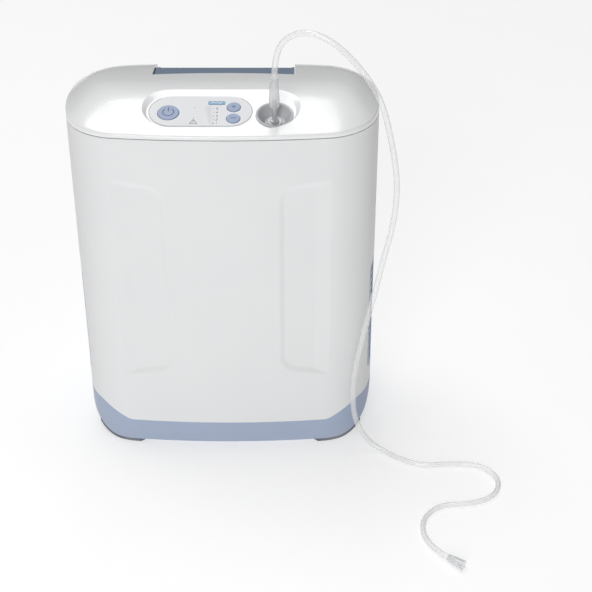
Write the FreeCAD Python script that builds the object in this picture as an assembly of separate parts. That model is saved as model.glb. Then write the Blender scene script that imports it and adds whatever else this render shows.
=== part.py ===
"""Home oxygen concentrator: an oval plastic case around a compressor, two sieve beds and controls.

Millimetres. +X is to the right seen from the front, +Y is to the back, +Z is up.
The origin is on the floor under the middle of the case.
"""
import FreeCAD, Part
import math
import os

V = FreeCAD.Vector
X_AXIS = V(1, 0, 0)
Y_AXIS = V(0, 1, 0)
Z_AXIS = V(0, 0, 1)

# Case outline seen from above: front and back arcs, side arcs and corner arcs, all tangent
CASE_WIDTH = 330.0
CASE_DEPTH = 178.0
FRONT_RADIUS = 1000.0
SIDE_RADIUS = 150.0
CORNER_RADIUS = 60.0
WALL = 3.2
SEAM_Y = 18.0

# Heights of the case
BASE_BOTTOM_Z = 4.5
BASE_FLOOR = 3.0
BASE_FRONT_Z = 32.0
BASE_SIDE_Z = 49.5
BASE_FLAT_HALF = 113.0
BASE_RISE_RUN = 33.0
BASE_CORNER_RADIUS = 40.0
PARTING_RADIUS = 18.0
CAP_Z = 390.0
GASKET = 0.9
CAP_FRONT_EDGE = 5.0
CAP_SLOPE = 15.0
CAP_BACK_Z = 402.0
CAP_BACK_SLOPE = 8.7
CAP_RIM_RISE = 5.4
CAP_CROWN = 20.0
CAP_CROWN_RUN = 54.0
CAP_CROWN_POWER = 1.9
CAP_BLEND = 6.0
CAP_EDGE_RADIUS = 2.6
CAP_GRID = 8.0
CAP_MARGIN = 8.0
CAP_SKIRT = 9.0
FIT_GAP = 0.5

# Sculpted recesses on the front, one each side
SCOOP_INNER_X = 60.0
SCOOP_TOP_Z = 336.0
SCOOP_BOTTOM_Z = 105.0
SCOOP_TOP_RISE = 26.0
SCOOP_BOTTOM_DROP = 32.0
SCOOP_RUN = 80.0
SCOOP_RADIUS = 24.0
SCOOP_DEPTH = 1.6
SCOOP_FADE_X = 122.0
SCOOP_WALL_SLOPE = 2.2
SCOOP_SOFT = 6.0

# Control panel, in a frame that lies in the sloping top: x right, y up the slope, z out
PANEL_Y = -44.5
PAN_LEFT = -80.0
PAN_RIGHT = 81.0
PAN_HALF = 32.5
PAN_DEPTH = 3.0
PAN_FLOOR = 2.6
PAN_SIDE_RUN = 3.5
PAN_FRONT_RUN = 1.2
PAN_REAR_RUN = 12.5
PAN_RIM_START = -1.2
PAN_RIM_TOP = 1.5
PAN_RIM_FLARE = 1.6
PAN_FLOOR_SOFT = 1.65
OVERLAY_LEFT = -74.0
OVERLAY_RIGHT = 32.8
OVERLAY_FRONT = -28.3
OVERLAY_REAR = 18.6
OVERLAY_THICK = 0.4
KEY_STROKE = 0.8
KEY_PROUD = 1.1
KEY_GAP = 0.45
KEY_FLANGE = 1.6
KEY_FLANGE_THICK = 1.0
POWER_KEY = (-53.5, -7.4, 11.0)
PLUS_KEY = (13.2, 1.2, 7.0)
MINUS_KEY = (13.1, -16.4, 7.0)
STATUS_LED = (-27.2, 0.6)
ALARM_LED = (-27.2, -14.4)
FLOW_LED_X = -7.1
FLOW_LED_TOP = -0.9
FLOW_LED_PITCH = -5.65
FLOW_LED_COUNT = 5
LED_RADIUS = 0.9
BADGE = (-13.2, 4.2, 5.4, 10.4)
BADGE_THICK = 0.5
BADGE_CORNER = 1.2
BOARD_THICK = 1.6

# Outlet well and nozzle, on an axis square to the sloping top
WELL_X = 55.2
WELL_Y = -10.5
WELL_LIP_RADIUS = 19.6
WELL_MOUTH_RADIUS = 17.0
WELL_FLOOR_RADIUS = 10.5
WELL_DEPTH = 10.0
WELL_WALL = 1.8
SPIGOT_RADIUS = 2.6
SPIGOT_BORE = 1.4
SPIGOT_TOP = 15.3

# Oxygen tube and its two cuffs
TUBE_RADIUS = 3.0
CUFF_BOTTOM = 9.0
CUFF_TOP = 43.0
CUFF_RADIUS = 5.4
CUFF_NECK_RADIUS = 4.2
TUBE_START = 35.0
TUBE_STRAIGHT = 28.0
END_CUFF_LENGTH = 18.0
END_CUFF_RADIUS = 5.5
END_CUFF_NECK = 4.0
END_CUFF_BORE = 4.2
ROUTE = [
    (63, -77, 493), (86, -85, 506), (112, -91, 498), (138.5, -95, 473), (161, -97, 439),
    (172, -98, 396), (180, -99, 352), (179, -99, 305), (168, -99, 254), (160, -99, 208),
    (152, -98, 172), (145, -96, 129), (140, -95, 91), (142, -94, 50), (150, -94, 25),
    (162, -98, 10), (178, -105, 3), (192, -117, 3), (218, -131, 3), (252, -127, 3),
    (285, -129, 3), (305, -153, 3), (296, -183, 3), (266, -196, 3), (234, -196, 3),
    (210, -223, 3), (216, -262, 3), (236, -280, 4.5),
]

# Handle in the back of the cap, over a finger pocket
HANDLE_HALF = 76.0
HANDLE_FRONT_Y = 25.5
HANDLE_BOW = 5.0
HANDLE_DROP = 3.5
HANDLE_THICK = 5.5
HANDLE_BACK_Y = 70.0
HANDLE_LIP_Z = 384.0
HANDLE_NOSE_RADIUS = 9.0
HANDLE_GAP = 0.6
EAR_WALL = 3.0
POCKET_FLOOR_Z = 348.0
POCKET_WALL = 2.5
POCKET_FRONT_Y = 38.0

# Side vents
VENT_FRONT_Y = -42.0
VENT_BACK_Y = 52.0
VENT_BOTTOM_Z = 72.0
VENT_TOP_Z = 216.0
VENT_CORNER = 14.0
VENT_SLOTS = 13
VENT_SLOT_HEIGHT = 5.0
VENT_BORDER = 8.0

# Back of the case: filter door, exhaust grille, mains inlet, label
FILTER_HALF = 62.0
FILTER_BOTTOM_Z = 64.0
FILTER_TOP_Z = 190.0
FILTER_CORNER = 10.0
FILTER_SLOTS = 11
FOAM_THICK = 8.0
FOAM_SIDE_INSET = 10.0
FOAM_END_INSET = 14.0
DOOR_GAP = 0.5
FAN_X = -62.0
FAN_Z = 262.0
FAN_SIZE = 92.0
FAN_DEPTH = 25.0
FAN_BLADES = 7
GRILLE_RADIUS = 45.0
GRILLE_SLOTS = 7
INLET_X = 108.0
INLET_Z = 84.0
INLET_WIDTH = 30.0
INLET_HEIGHT = 24.0
INLET_DEPTH = 17.0
INLET_SET_BACK = 3.5
LABEL_X = 52.0
LABEL_Z = 265.0
LABEL_WIDTH = 70.0
LABEL_HEIGHT = 48.0
SCREW_RADIUS = 3.4
SCREW_SHANK = 1.6
SCREW_HEAD = 1.6

# Feet
FOOT_X = 120.0
FOOT_Y = 56.0
FOOT_RADIUS = 32.0
FOOT_INSET = 0.8
FOOT_STUB_RADIUS = 11.0
FOOT_SINK = 1.5

# Machinery inside
CHASSIS_Z = 20.0
CHASSIS_THICK = 2.0
DIVIDER_Y = 24.0
DIVIDER_TOP_Z = 336.0
MOTOR_Y = -26.0
MOTOR_Z = 88.0
MOTOR_RADIUS = 42.0
MOTOR_HALF = 30.0
SHAFT_RADIUS = 5.0
SHAFT_GAP = 0.05
HEAD_X = 58.0
CRANK_THROW = 2.5
CRANK_PIN_RADIUS = 9.0
BORE_RADIUS = 22.0
PISTON_TRAVEL = 1.5
BED_X = 112.0
BED_Y = -8.0
BED_RADIUS = 29.0
BED_BOTTOM_Z = 156.0
BED_TOP_Z = 326.0
TANK_RADIUS = 25.0


# ---------------------------------------------------------------- helpers
def box(x0, x1, y0, y1, z0, z1):
    """Box between two corners."""
    return Part.makeBox(x1 - x0, y1 - y0, z1 - z0, V(x0, y0, z0))


def rod(radius, start, direction, length):
    """Cylinder from a point along a direction."""
    return Part.makeCylinder(radius, length, start, direction)


def ring(outer, inner, start, direction, length):
    """Tube from a point along a direction."""
    return rod(outer, start, direction, length).cut(rod(inner, start, direction, length))


def rounded_edges(points, radii, closed=True):
    """Straight runs through the points, each corner rounded by a tangent arc of its radius."""
    count = len(points)
    starts, ends, arcs = [], [], []
    for i in range(count):
        corner = points[i]
        inner = closed or 0 < i < count - 1
        if not inner or radii[i] <= 0:
            starts.append(corner)
            ends.append(corner)
            arcs.append(None)
            continue
        back = (points[i - 1] - corner).normalize()
        ahead = (points[(i + 1) % count] - corner).normalize()
        half_turn = (math.pi - back.getAngle(ahead)) / 2
        cut = radii[i] * math.tan(half_turn)
        bisector = (back + ahead).normalize()
        middle = corner + bisector * (radii[i] / math.cos(half_turn) - radii[i])
        starts.append(corner + back * cut)
        ends.append(corner + ahead * cut)
        arcs.append(middle)
    edges = []
    for i in range(count):
        if arcs[i] is not None:
            edges.append(Part.Arc(starts[i], arcs[i], ends[i]).toShape())
        if i < count - 1 or closed:
            edges.append(Part.LineSegment(ends[i], starts[(i + 1) % count]).toShape())
    return edges


def prism(points, radii, push):
    """Closed rounded outline pushed along a vector."""
    return Part.Face(Part.Wire(rounded_edges(points, radii))).extrude(push)


def front_prism(outline, radii, y0, y1):
    """Outline given as (x, z) pairs, pushed from y0 to y1."""
    return prism([V(x, y0, z) for x, z in outline], radii, V(0, y1 - y0, 0))


def side_prism(outline, radii, x0, x1):
    """Outline given as (y, z) pairs, pushed from x0 to x1."""
    return prism([V(x0, y, z) for y, z in outline], radii, V(x1 - x0, 0, 0))


def slab(x0, x1, z0, z1, radius, y0, y1):
    """Plate with rounded corners that faces the back, between two depths."""
    corners = [(x0, z0), (x1, z0), (x1, z1), (x0, z1)]
    return front_prism(corners, [radius] * 4, y0, y1)


def stadium_wire(left, right, front, rear, z):
    """Outline with round ends, in the panel's frame."""
    r = (rear - front) / 2
    mid = (rear + front) / 2
    a, b, c, d = V(left + r, front, z), V(right - r, front, z), V(right - r, rear, z), V(left + r, rear, z)
    edges = [
        Part.LineSegment(a, b).toShape(),
        Part.Arc(b, V(right, mid, z), c).toShape(),
        Part.LineSegment(c, d).toShape(),
        Part.Arc(d, V(left, mid, z), a).toShape(),
    ]
    return Part.Wire(edges)


def stadium(left, right, front, rear, z0, z1):
    """Plate with round ends, in the panel's frame."""
    return Part.Face(stadium_wire(left, right, front, rear, z0)).extrude(V(0, 0, z1 - z0))


def corner_centre():
    """Centre of the corner arc that is tangent inside the front arc and the side arc."""
    front = FRONT_RADIUS - CASE_DEPTH / 2
    side = CASE_WIDTH / 2 - SIDE_RADIUS
    to_front = FRONT_RADIUS - CORNER_RADIUS
    to_side = SIDE_RADIUS - CORNER_RADIUS
    span = math.hypot(side, front)
    along = (to_front ** 2 - to_side ** 2 + span ** 2) / (2 * span)
    off = math.sqrt(to_front ** 2 - along ** 2)
    ux, uy = side / span, -front / span
    return along * ux - off * uy, front + along * uy + off * ux


def oval_wire(inset, z):
    """Case outline at a height, moved inwards by the inset."""
    cx, cy = corner_centre()
    front_y = FRONT_RADIUS - CASE_DEPTH / 2
    side_x = CASE_WIDTH / 2 - SIDE_RADIUS
    up = V(cx, cy - front_y, 0).normalize()
    out = V(cx - side_x, cy, 0).normalize()
    low = V(0, front_y, 0) + up * (FRONT_RADIUS - inset)
    high = V(side_x, 0, 0) + out * (SIDE_RADIUS - inset)
    mid = V(cx, cy, 0) + (up + out).normalize() * (CORNER_RADIUS - inset)
    front = V(0, inset - CASE_DEPTH / 2, 0)
    side = V(CASE_WIDTH / 2 - inset, 0, 0)
    lift = V(0, 0, z)

    def flip(p, sx, sy):
        return V(p.x * sx, p.y * sy, 0) + lift

    edges = []
    for sx, sy in ((1, -1), (1, 1), (-1, 1), (-1, -1)):
        pair = [flip(low, sx, -sy), flip(mid, sx, -sy), flip(high, sx, -sy)]
        edges.append(Part.Arc(*pair).toShape())
    edges.append(Part.Arc(flip(low, -1, 1), flip(front, 1, 1), flip(low, 1, 1)).toShape())
    edges.append(Part.Arc(flip(low, -1, -1), flip(front, 1, -1), flip(low, 1, -1)).toShape())
    edges.append(Part.Arc(flip(high, 1, 1), flip(side, 1, 1), flip(high, 1, -1)).toShape())
    edges.append(Part.Arc(flip(high, -1, 1), flip(side, -1, 1), flip(high, -1, -1)).toShape())
    return Part.Wire(Part.__sortEdges__(edges))


def oval(inset, z0, z1):
    """Solid with the case's outline between two heights."""
    return Part.Face(oval_wire(inset, z0)).extrude(V(0, 0, z1 - z0))


def outline_y(x):
    """Depth of the back wall at a place along its width, inside the long arc."""
    return CASE_DEPTH / 2 - FRONT_RADIUS + math.sqrt(FRONT_RADIUS ** 2 - x ** 2)


def cap_front_height(y):
    """Height of the cap's sloping front plane."""
    rise = (y + CASE_DEPTH / 2) * math.tan(math.radians(CAP_SLOPE))
    return CAP_Z + GASKET / 2 + CAP_FRONT_EDGE + rise


def cap_back_height(y):
    """Height of the cap's nearly level back plane."""
    return CAP_BACK_Z + (CASE_DEPTH / 2 - y) * math.tan(math.radians(CAP_BACK_SLOPE))


def soft_lower(first, second):
    """The lower of two heights, blended where they come close."""
    near = max(CAP_BLEND - abs(first - second), 0) / CAP_BLEND
    return min(first, second) - near * near * CAP_BLEND / 4


def edge_distance(x, y):
    """How far a place lies inside the case's outline, less than nothing outside it."""
    corner_x, corner_y = (abs(place) for place in corner_centre())
    front_centre = CASE_DEPTH / 2 - FRONT_RADIUS
    side_centre = CASE_WIDTH / 2 - SIDE_RADIUS
    x, y = abs(x), abs(y)
    past_front = (x - corner_x) * (corner_y - front_centre) > (y - corner_y) * corner_x
    past_side = (y - corner_y) * (corner_x - side_centre) > (x - corner_x) * corner_y
    if past_front and past_side:
        return CORNER_RADIUS - math.hypot(x - corner_x, y - corner_y)
    if past_front:
        return SIDE_RADIUS - math.hypot(x - side_centre, y)
    return FRONT_RADIUS - math.hypot(x, y - front_centre)


def crown_height(x, y):
    """Height of the crowned border, which is level inside and falls away to the rim."""
    out = max(1 - edge_distance(x, y) / CAP_CROWN_RUN, 0)
    rim = CAP_Z + GASKET / 2 + CAP_RIM_RISE
    return rim + CAP_CROWN * (1 - out ** CAP_CROWN_POWER)


def cap_height(x, y):
    """Height of the cap's upper face: two slopes and the crowned border, blended."""
    slopes = soft_lower(cap_front_height(y), cap_back_height(y))
    return soft_lower(slopes, crown_height(x, y))


def spread(half, step):
    """Evenly spaced places from -half to half, about a step apart."""
    count = round(2 * half / step)
    return [-half + 2 * half * i / count for i in range(count + 1)]


def under_cap_face(inset):
    """Space under the cap's upper face, lowered by an inset."""
    xs = spread(CASE_WIDTH / 2 + CAP_MARGIN, CAP_GRID)
    ys = spread(CASE_DEPTH / 2 + CAP_MARGIN, CAP_GRID)
    rows = [[V(x, y, cap_height(x, y) - inset) for y in ys] for x in xs]
    face = Part.BSplineSurface()
    face.interpolate(rows)
    return face.toShape().extrude(V(0, 0, -CASE_DEPTH))


def on_panel(shape):
    """Move a shape from the panel's frame to the case's frame."""
    moved = shape.copy()
    moved.Placement = panel_place().multiply(shape.Placement)
    return moved


def panel_place():
    """Place of the panel's frame in the sloping top."""
    return FreeCAD.Placement(V(0, PANEL_Y, cap_front_height(PANEL_Y)), FreeCAD.Rotation(X_AXIS, CAP_SLOPE))


def panel_point(x, y, z):
    """Point of the panel's frame in the case's frame."""
    return panel_place().multVec(V(x, y, z))


def edges_where(shape, test):
    """Edges whose ends and middle all pass a test on the point."""
    found = []
    for edge in shape.Edges:
        first, last = edge.FirstParameter, edge.LastParameter
        points = [edge.valueAt(first), edge.valueAt((first + last) / 2), edge.valueAt(last)]
        if all(test(point) for point in points):
            found.append(edge)
    return found


def on_outline(point, outline):
    """True for a point over or under the outline, which lies at height zero."""
    return outline.distToShape(Part.Vertex(V(point.x, point.y, 0)))[0] < 0.03


def save(name, shape):
    """Write one node and print what it holds."""
    if not shape.isValid():
        print("NOT VALID", name)
    if not shape.Solids:
        print("NO SOLID", name)
    if len(shape.Solids) == 1:
        shape = shape.Solids[0]
    else:
        shape = Part.Compound(shape.Solids)
    shape.exportStep(os.path.join("parts", name + ".step"))
    print(f"{name:24s} solids {len(shape.Solids):3d}  volume {shape.Volume / 1000:9.2f} cm3")


# ---------------------------------------------------------------- case
def below_parting(lift=0.0):
    """Space under the line where the base meets the shells: low in front, higher at the sides."""
    far = CASE_WIDTH
    rise = BASE_FLAT_HALF + BASE_RISE_RUN
    outline = [
        (-far, -far), (far, -far), (far, BASE_SIDE_Z + lift), (rise, BASE_SIDE_Z + lift),
        (BASE_FLAT_HALF, BASE_FRONT_Z + lift), (-BASE_FLAT_HALF, BASE_FRONT_Z + lift),
        (-rise, BASE_SIDE_Z + lift), (-far, BASE_SIDE_Z + lift),
    ]
    r = PARTING_RADIUS
    return front_prism(outline, [0, 0, 0, r, r, r, r, 0], -far, far)


def rounded_below(inset):
    """Space inside the base's rounded lower side edges."""
    half = CASE_WIDTH / 2 - inset
    low = BASE_BOTTOM_Z + inset
    r = BASE_CORNER_RADIUS - inset
    outline = [(-half, low), (half, low), (half, CAP_Z), (-half, CAP_Z)]
    return front_prism(outline, [r, r, 0, 0], -CASE_DEPTH, CASE_DEPTH)


def base_tray():
    """Lower tray of the case, with a step for each foot and an inner lip for the shells."""
    top = BASE_SIDE_Z + 10
    outer = oval(0, BASE_BOTTOM_Z, top).common(rounded_below(0)).common(below_parting())
    hollow = oval(WALL, BASE_BOTTOM_Z + BASE_FLOOR, top).common(rounded_below(WALL))
    tray = outer.cut(hollow)
    lip = oval(WALL, BASE_BOTTOM_Z, top).cut(oval(WALL + 2, 0, top + 1))
    lip = lip.common(below_parting(6)).common(rounded_below(WALL))
    tray = tray.fuse(lip)
    for x, y in foot_places():
        tray = tray.cut(rod(FOOT_STUB_RADIUS, V(x, y, 0), Z_AXIS, BASE_BOTTOM_Z + FOOT_SINK))
    for x, y in chassis_posts():
        tray = tray.fuse(rod(6, V(x, y, BASE_BOTTOM_Z + 1), Z_AXIS, CHASSIS_Z - BASE_BOTTOM_Z - 1))
    return tray.removeSplitter()


def chassis_posts():
    """Places of the four posts that carry the chassis."""
    return [(sx * 82.0, sy * 34.0) for sx in (-1, 1) for sy in (-1, 1)]


def foot_places():
    """Places of the four feet."""
    return [(sx * FOOT_X, sy * FOOT_Y) for sy in (-1, 1) for sx in (-1, 1)]


def foot(x, y):
    """Rubber pad that wraps the base's lower corner, with a stub that sits in the base."""
    pad = rod(FOOT_RADIUS, V(x, y, 0), Z_AXIS, BASE_SIDE_Z)
    pad = pad.common(oval(FOOT_INSET, 0, BASE_SIDE_Z)).common(rounded_below(-BASE_BOTTOM_Z))
    pad = pad.cut(rounded_below(0))
    stub = rod(FOOT_STUB_RADIUS, V(x, y, BASE_BOTTOM_Z - 1), Z_AXIS, FOOT_SINK + 1)
    return pad.fuse(stub).removeSplitter()


def scoop_outline(side, grow, y):
    """Outline of one recess at a depth, grown by an amount, with its two inner corners rounded."""
    inner = side * (SCOOP_INNER_X - grow)
    far = side * (SCOOP_INNER_X + 1.5 * SCOOP_RUN)
    high, low = SCOOP_TOP_Z + grow, SCOOP_BOTTOM_Z - grow
    corners = [
        V(far, y, high + 1.5 * SCOOP_TOP_RISE), V(inner, y, high),
        V(inner, y, low), V(far, y, low - 1.5 * SCOOP_BOTTOM_DROP),
    ]
    radius = SCOOP_RADIUS + grow / 2
    return Part.Wire(rounded_edges(corners, [0, radius, radius, 0]))


def scoop_floor_y(x):
    """Depth of a recess's flat floor, which starts at full depth and runs out at the case's corner."""
    start = SCOOP_DEPTH - outline_y(SCOOP_INNER_X)
    end = -corner_y(SCOOP_FADE_X)
    return start + (end - start) * (x - SCOOP_INNER_X) / (SCOOP_FADE_X - SCOOP_INNER_X)


def scoop(side):
    """Cutter of the shallow sculpted recess on one side of the front, with sloping walls."""
    face_y = -outline_y(SCOOP_INNER_X)
    reach = 5.0
    outer = scoop_outline(side, reach * SCOOP_WALL_SLOPE, face_y - reach)
    inner = scoop_outline(side, -reach * SCOOP_WALL_SLOPE, face_y + reach)
    area = Part.makeLoft([outer, inner], True, True)
    near, far = SCOOP_INNER_X - 3 * reach, SCOOP_INNER_X + 2 * SCOOP_RUN
    plan = [
        V(side * near, scoop_floor_y(near), 0), V(side * far, scoop_floor_y(far), 0),
        V(side * far, -CASE_DEPTH, 0), V(side * near, -CASE_DEPTH, 0),
    ]
    cutter = area.common(prism(plan, [0] * 4, V(0, 0, CAP_Z + 50)))
    far_x = SCOOP_INNER_X + 1.4 * SCOOP_RUN

    def on_floor(point):
        x = abs(point.x)
        return x < far_x and abs(point.y - scoop_floor_y(x)) < 0.02

    return cutter.makeFillet(SCOOP_SOFT, edges_where(cutter, on_floor))


def corner_y(x):
    """Depth of the outline on its corner arc."""
    cx, cy = corner_centre()
    return abs(cy) + math.sqrt(CORNER_RADIUS ** 2 - (x - abs(cx)) ** 2)


def case_wall():
    """Upright wall of the case between the base and the cap."""
    top = CAP_Z - GASKET / 2
    wall = oval(0, BASE_FRONT_Z - 1, top).cut(oval(WALL, 0, top + 1))
    return wall.cut(below_parting())


def vent_area(side, gap):
    """Rounded window in one side wall, grown by a gap."""
    x0, x1 = sorted((side * 120.0, side * CASE_WIDTH))
    low, high = VENT_BOTTOM_Z - gap, VENT_TOP_Z + gap
    front, back = VENT_FRONT_Y - gap, VENT_BACK_Y + gap
    outline = [(front, low), (back, low), (back, high), (front, high)]
    return side_prism(outline, [VENT_CORNER + gap] * 4, x0, x1)


def front_shell(wall):
    """Front half of the case, with its two sculpted recesses."""
    shell = wall.common(box(-300, 300, -200, SEAM_Y, 0, 500))
    outline = oval_wire(0, 0)
    for side in (-1, 1):
        shell = shell.cut(vent_area(side, FIT_GAP)).cut(scoop(side))

    def on_rim(point):
        inside = SCOOP_INNER_X / 2 < abs(point.x) < SCOOP_FADE_X + 10 and point.y < VENT_FRONT_Y - 10
        clear = SCOOP_BOTTOM_Z - SCOOP_RUN / 2 < point.z < SCOOP_TOP_Z + SCOOP_RUN / 2
        return inside and clear and on_outline(point, outline)

    return shell.makeFillet(SCOOP_SOFT, edges_where(shell, on_rim))


def rear_shell(wall):
    """Back half of the case, open for the pocket, filter, fan and mains inlet."""
    shell = wall.common(box(-300, 300, SEAM_Y, 200, 0, 500))
    for side in (-1, 1):
        shell = shell.cut(vent_area(side, FIT_GAP))
    shell = shell.cut(box(-HANDLE_HALF, HANDLE_HALF, SEAM_Y + 1, 200, POCKET_FLOOR_Z - FIT_GAP, CAP_Z))
    shell = shell.cut(door_area(DOOR_GAP, SEAM_Y + 1, 200))
    shell = shell.cut(rod(GRILLE_RADIUS + FIT_GAP, V(FAN_X, SEAM_Y + 1, FAN_Z), Y_AXIS, 200))
    half_w, half_h = INLET_WIDTH / 2 + 4, INLET_HEIGHT / 2 + 4
    inlet = slab(INLET_X - half_w, INLET_X + half_w, INLET_Z - half_h, INLET_Z + half_h, 3, SEAM_Y + 1, 200)
    shell = shell.cut(inlet)
    for x, z in screw_places():
        y = outline_y(x)
        shell = shell.cut(rod(SCREW_SHANK + 0.2, V(x, y - 20, z), Y_AXIS, 30))
        shell = shell.cut(rod(SCREW_RADIUS + 0.2, V(x, y - SCREW_HEAD, z), Y_AXIS, 10))
    return shell.cut(rating_label())


def screw_places():
    """Places of the screws in the back of the case."""
    low, high = 50.0, 338.0
    return [(sx * 96.0, z) for z in (low, high) for sx in (-1, 1)] + [(0.0, 222.0), (0.0, low)]


def case_screws():
    """Pan-head screws that hold the back of the case."""
    screws = []
    for x, z in screw_places():
        y = outline_y(x)
        seat = y - SCREW_HEAD
        head = rod(SCREW_RADIUS, V(x, seat, z), Y_AXIS, SCREW_HEAD - 0.4)
        slot = box(x - 2.2, x + 2.2, seat + 0.5, y + 1, z - 0.4, z + 0.4)
        cross = box(x - 0.4, x + 0.4, seat + 0.5, y + 1, z - 2.2, z + 2.2)
        shank = rod(SCREW_SHANK, V(x, seat - 12, z), Y_AXIS, 12.5)
        screws.append(head.fuse(shank).cut(slot).cut(cross))
    return screws


def cap_body(inset):
    """Solid cap: the oval under the crowned upper face, with a soft upper edge."""
    low = CAP_Z + GASKET / 2
    body = oval(inset, low, low + 60).common(under_cap_face(inset))
    radius = CAP_EDGE_RADIUS - inset * 0.7
    return body.makeFillet(radius, [e for e in body.Edges if e.BoundBox.ZMin > low + 0.2])


def notch(gap, low):
    """Opening for the handle in the back of the cap, with a bowed front edge."""
    half = HANDLE_HALF + gap
    front = HANDLE_FRONT_Y - gap
    back = CASE_DEPTH
    a, b = V(-half, front, low), V(half, front, low)
    bow = Part.Arc(a, V(0, front + HANDLE_BOW, low), b).toShape()
    edges = [bow, Part.LineSegment(b, V(half, back, low)).toShape()]
    edges.append(Part.LineSegment(V(half, back, low), V(-half, back, low)).toShape())
    edges.append(Part.LineSegment(V(-half, back, low), a).toShape())
    return Part.Face(Part.Wire(edges)).extrude(V(0, 0, 80))


def pan_wire(height, grow):
    """Outline of the control dish at a height in the panel's frame, grown by an amount."""
    share = -height / PAN_DEPTH
    left = PAN_LEFT + PAN_SIDE_RUN * share - grow
    right = PAN_RIGHT - PAN_SIDE_RUN * share + grow
    front = -PAN_HALF + PAN_FRONT_RUN * share - grow
    rear = PAN_HALF - PAN_REAR_RUN * share + grow
    return stadium_wire(left, right, front, rear, height)


def pan_cutter():
    """Dish of the control panel: steep in front, a wide slope at the rear, and a flared rim."""
    dish = Part.makeLoft([pan_wire(PAN_RIM_START, 0), pan_wire(-PAN_DEPTH, 0)], True, True)
    dish = dish.makeFillet(PAN_FLOOR_SOFT, edges_where(dish, lambda point: point.z < 0.01 - PAN_DEPTH))
    rim = [pan_wire(PAN_RIM_TOP, PAN_RIM_FLARE), pan_wire(PAN_RIM_START, 0)]
    return on_panel(dish.fuse(Part.makeLoft(rim, True, True)))


def top_cap():
    """Glossy cap with the control dish, the well's hole and the handle's notch."""
    outer = cap_body(0)
    hollow = cap_body(WALL)
    low = -PAN_DEPTH - PAN_FLOOR
    pan_back = on_panel(stadium(PAN_LEFT - 4, PAN_RIGHT + 4, -PAN_HALF - 3, PAN_HALF + 3, low, 30))
    hollow = hollow.cut(pan_back).cut(notch(EAR_WALL, CAP_Z - 20))
    cap = outer.cut(hollow)
    skirt = oval(WALL + 0.3, CAP_Z - CAP_SKIRT, CAP_Z + GASKET).cut(oval(WALL + 2.8, 0, 500))
    cap = cap.fuse(skirt).cut(notch(0, CAP_Z - 20)).cut(pan_cutter())
    for x, y, r in (POWER_KEY, PLUS_KEY, MINUS_KEY):
        cap = cap.cut(on_panel(rod(r + KEY_GAP, V(x, y, -30), Z_AXIS, 60)))
    for x, y in led_places():
        cap = cap.cut(on_panel(rod(LED_RADIUS, V(x, y, -30), Z_AXIS, 60)))
    cap = cap.cut(on_panel(rod(WELL_MOUTH_RADIUS + WELL_WALL, V(WELL_X, WELL_Y, -30), Z_AXIS, 60)))
    cap = cap.cut(on_panel(rod(WELL_LIP_RADIUS, V(WELL_X, WELL_Y, -PAN_DEPTH), Z_AXIS, 30)))
    return cap.removeSplitter()


def cap_gasket():
    """Thin seal set back in the groove between case and cap."""
    low = CAP_Z - GASKET / 2
    seal = oval(1.0, low, low + GASKET).cut(oval(WALL, 0, 500))
    return seal.cut(box(-HANDLE_HALF, HANDLE_HALF, SEAM_Y, 200, 0, 500))


def handle_top(y):
    """Height of the handle's upper face."""
    return cap_back_height(y) - HANDLE_DROP


def handle():
    """Grip: a plate that turns down at the back into a rounded lip for the fingers."""
    front, back = 15.0, HANDLE_BACK_Y
    t = HANDLE_THICK
    outline = [
        (front, handle_top(front)), (back, handle_top(back)), (back + 2, HANDLE_LIP_Z),
        (back - 3.4, HANDLE_LIP_Z), (back - t + 0.4, handle_top(back) - t), (front, handle_top(front) - t),
    ]
    grip = side_prism(outline, [0, HANDLE_NOSE_RADIUS, 2.4, 2.4, 3.5, 0], -CASE_WIDTH, CASE_WIDTH)
    return grip.common(notch(-HANDLE_GAP, CAP_Z - 20))


def handle_pocket():
    """Liner that closes the case off behind and below the handle, open to the back."""
    half = HANDLE_HALF - HANDLE_GAP
    front = POCKET_FRONT_Y
    outer = box(-half, half, front, 200, POCKET_FLOOR_Z, CAP_Z + 30).common(oval(0.2, 0, 500))
    floor = POCKET_FLOOR_Z + POCKET_WALL
    inner = box(-half + POCKET_WALL, half - POCKET_WALL, front + POCKET_WALL, 200, floor, 500)
    liner = outer.cut(inner)
    above = [(0, handle_top(0) - HANDLE_THICK), (200, handle_top(200) - HANDLE_THICK), (200, 600), (0, 600)]
    liner = liner.cut(side_prism(above, [0] * 4, -CASE_WIDTH, CASE_WIDTH))
    return liner.cut(handle())


def side_vent(side):
    """Louvred insert that fills the window in one side wall."""
    wall = oval(0.3, VENT_BOTTOM_Z - 1, VENT_TOP_Z + 1).cut(oval(WALL, 0, 500))
    vent = wall.common(vent_area(side, 0))
    pitch = (VENT_TOP_Z - VENT_BOTTOM_Z - 2 * VENT_BORDER) / VENT_SLOTS
    for i in range(VENT_SLOTS):
        z = VENT_BOTTOM_Z + VENT_BORDER + pitch * (i + 0.5)
        y0, y1 = VENT_FRONT_Y + VENT_BORDER, VENT_BACK_Y - VENT_BORDER
        h = VENT_SLOT_HEIGHT / 2
        x0, x1 = sorted((side * 120.0, side * CASE_WIDTH))
        outline = [(y0, z - h), (y1, z - h), (y1, z + h), (y0, z + h)]
        vent = vent.cut(side_prism(outline, [h * 0.9] * 4, x0, x1))
    return vent


# ---------------------------------------------------------------- controls
def led_places():
    """Places of the status, alarm and flow indicator lenses."""
    flow = [(FLOW_LED_X, FLOW_LED_TOP + i * FLOW_LED_PITCH) for i in range(FLOW_LED_COUNT)]
    return [STATUS_LED, ALARM_LED] + flow


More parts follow.
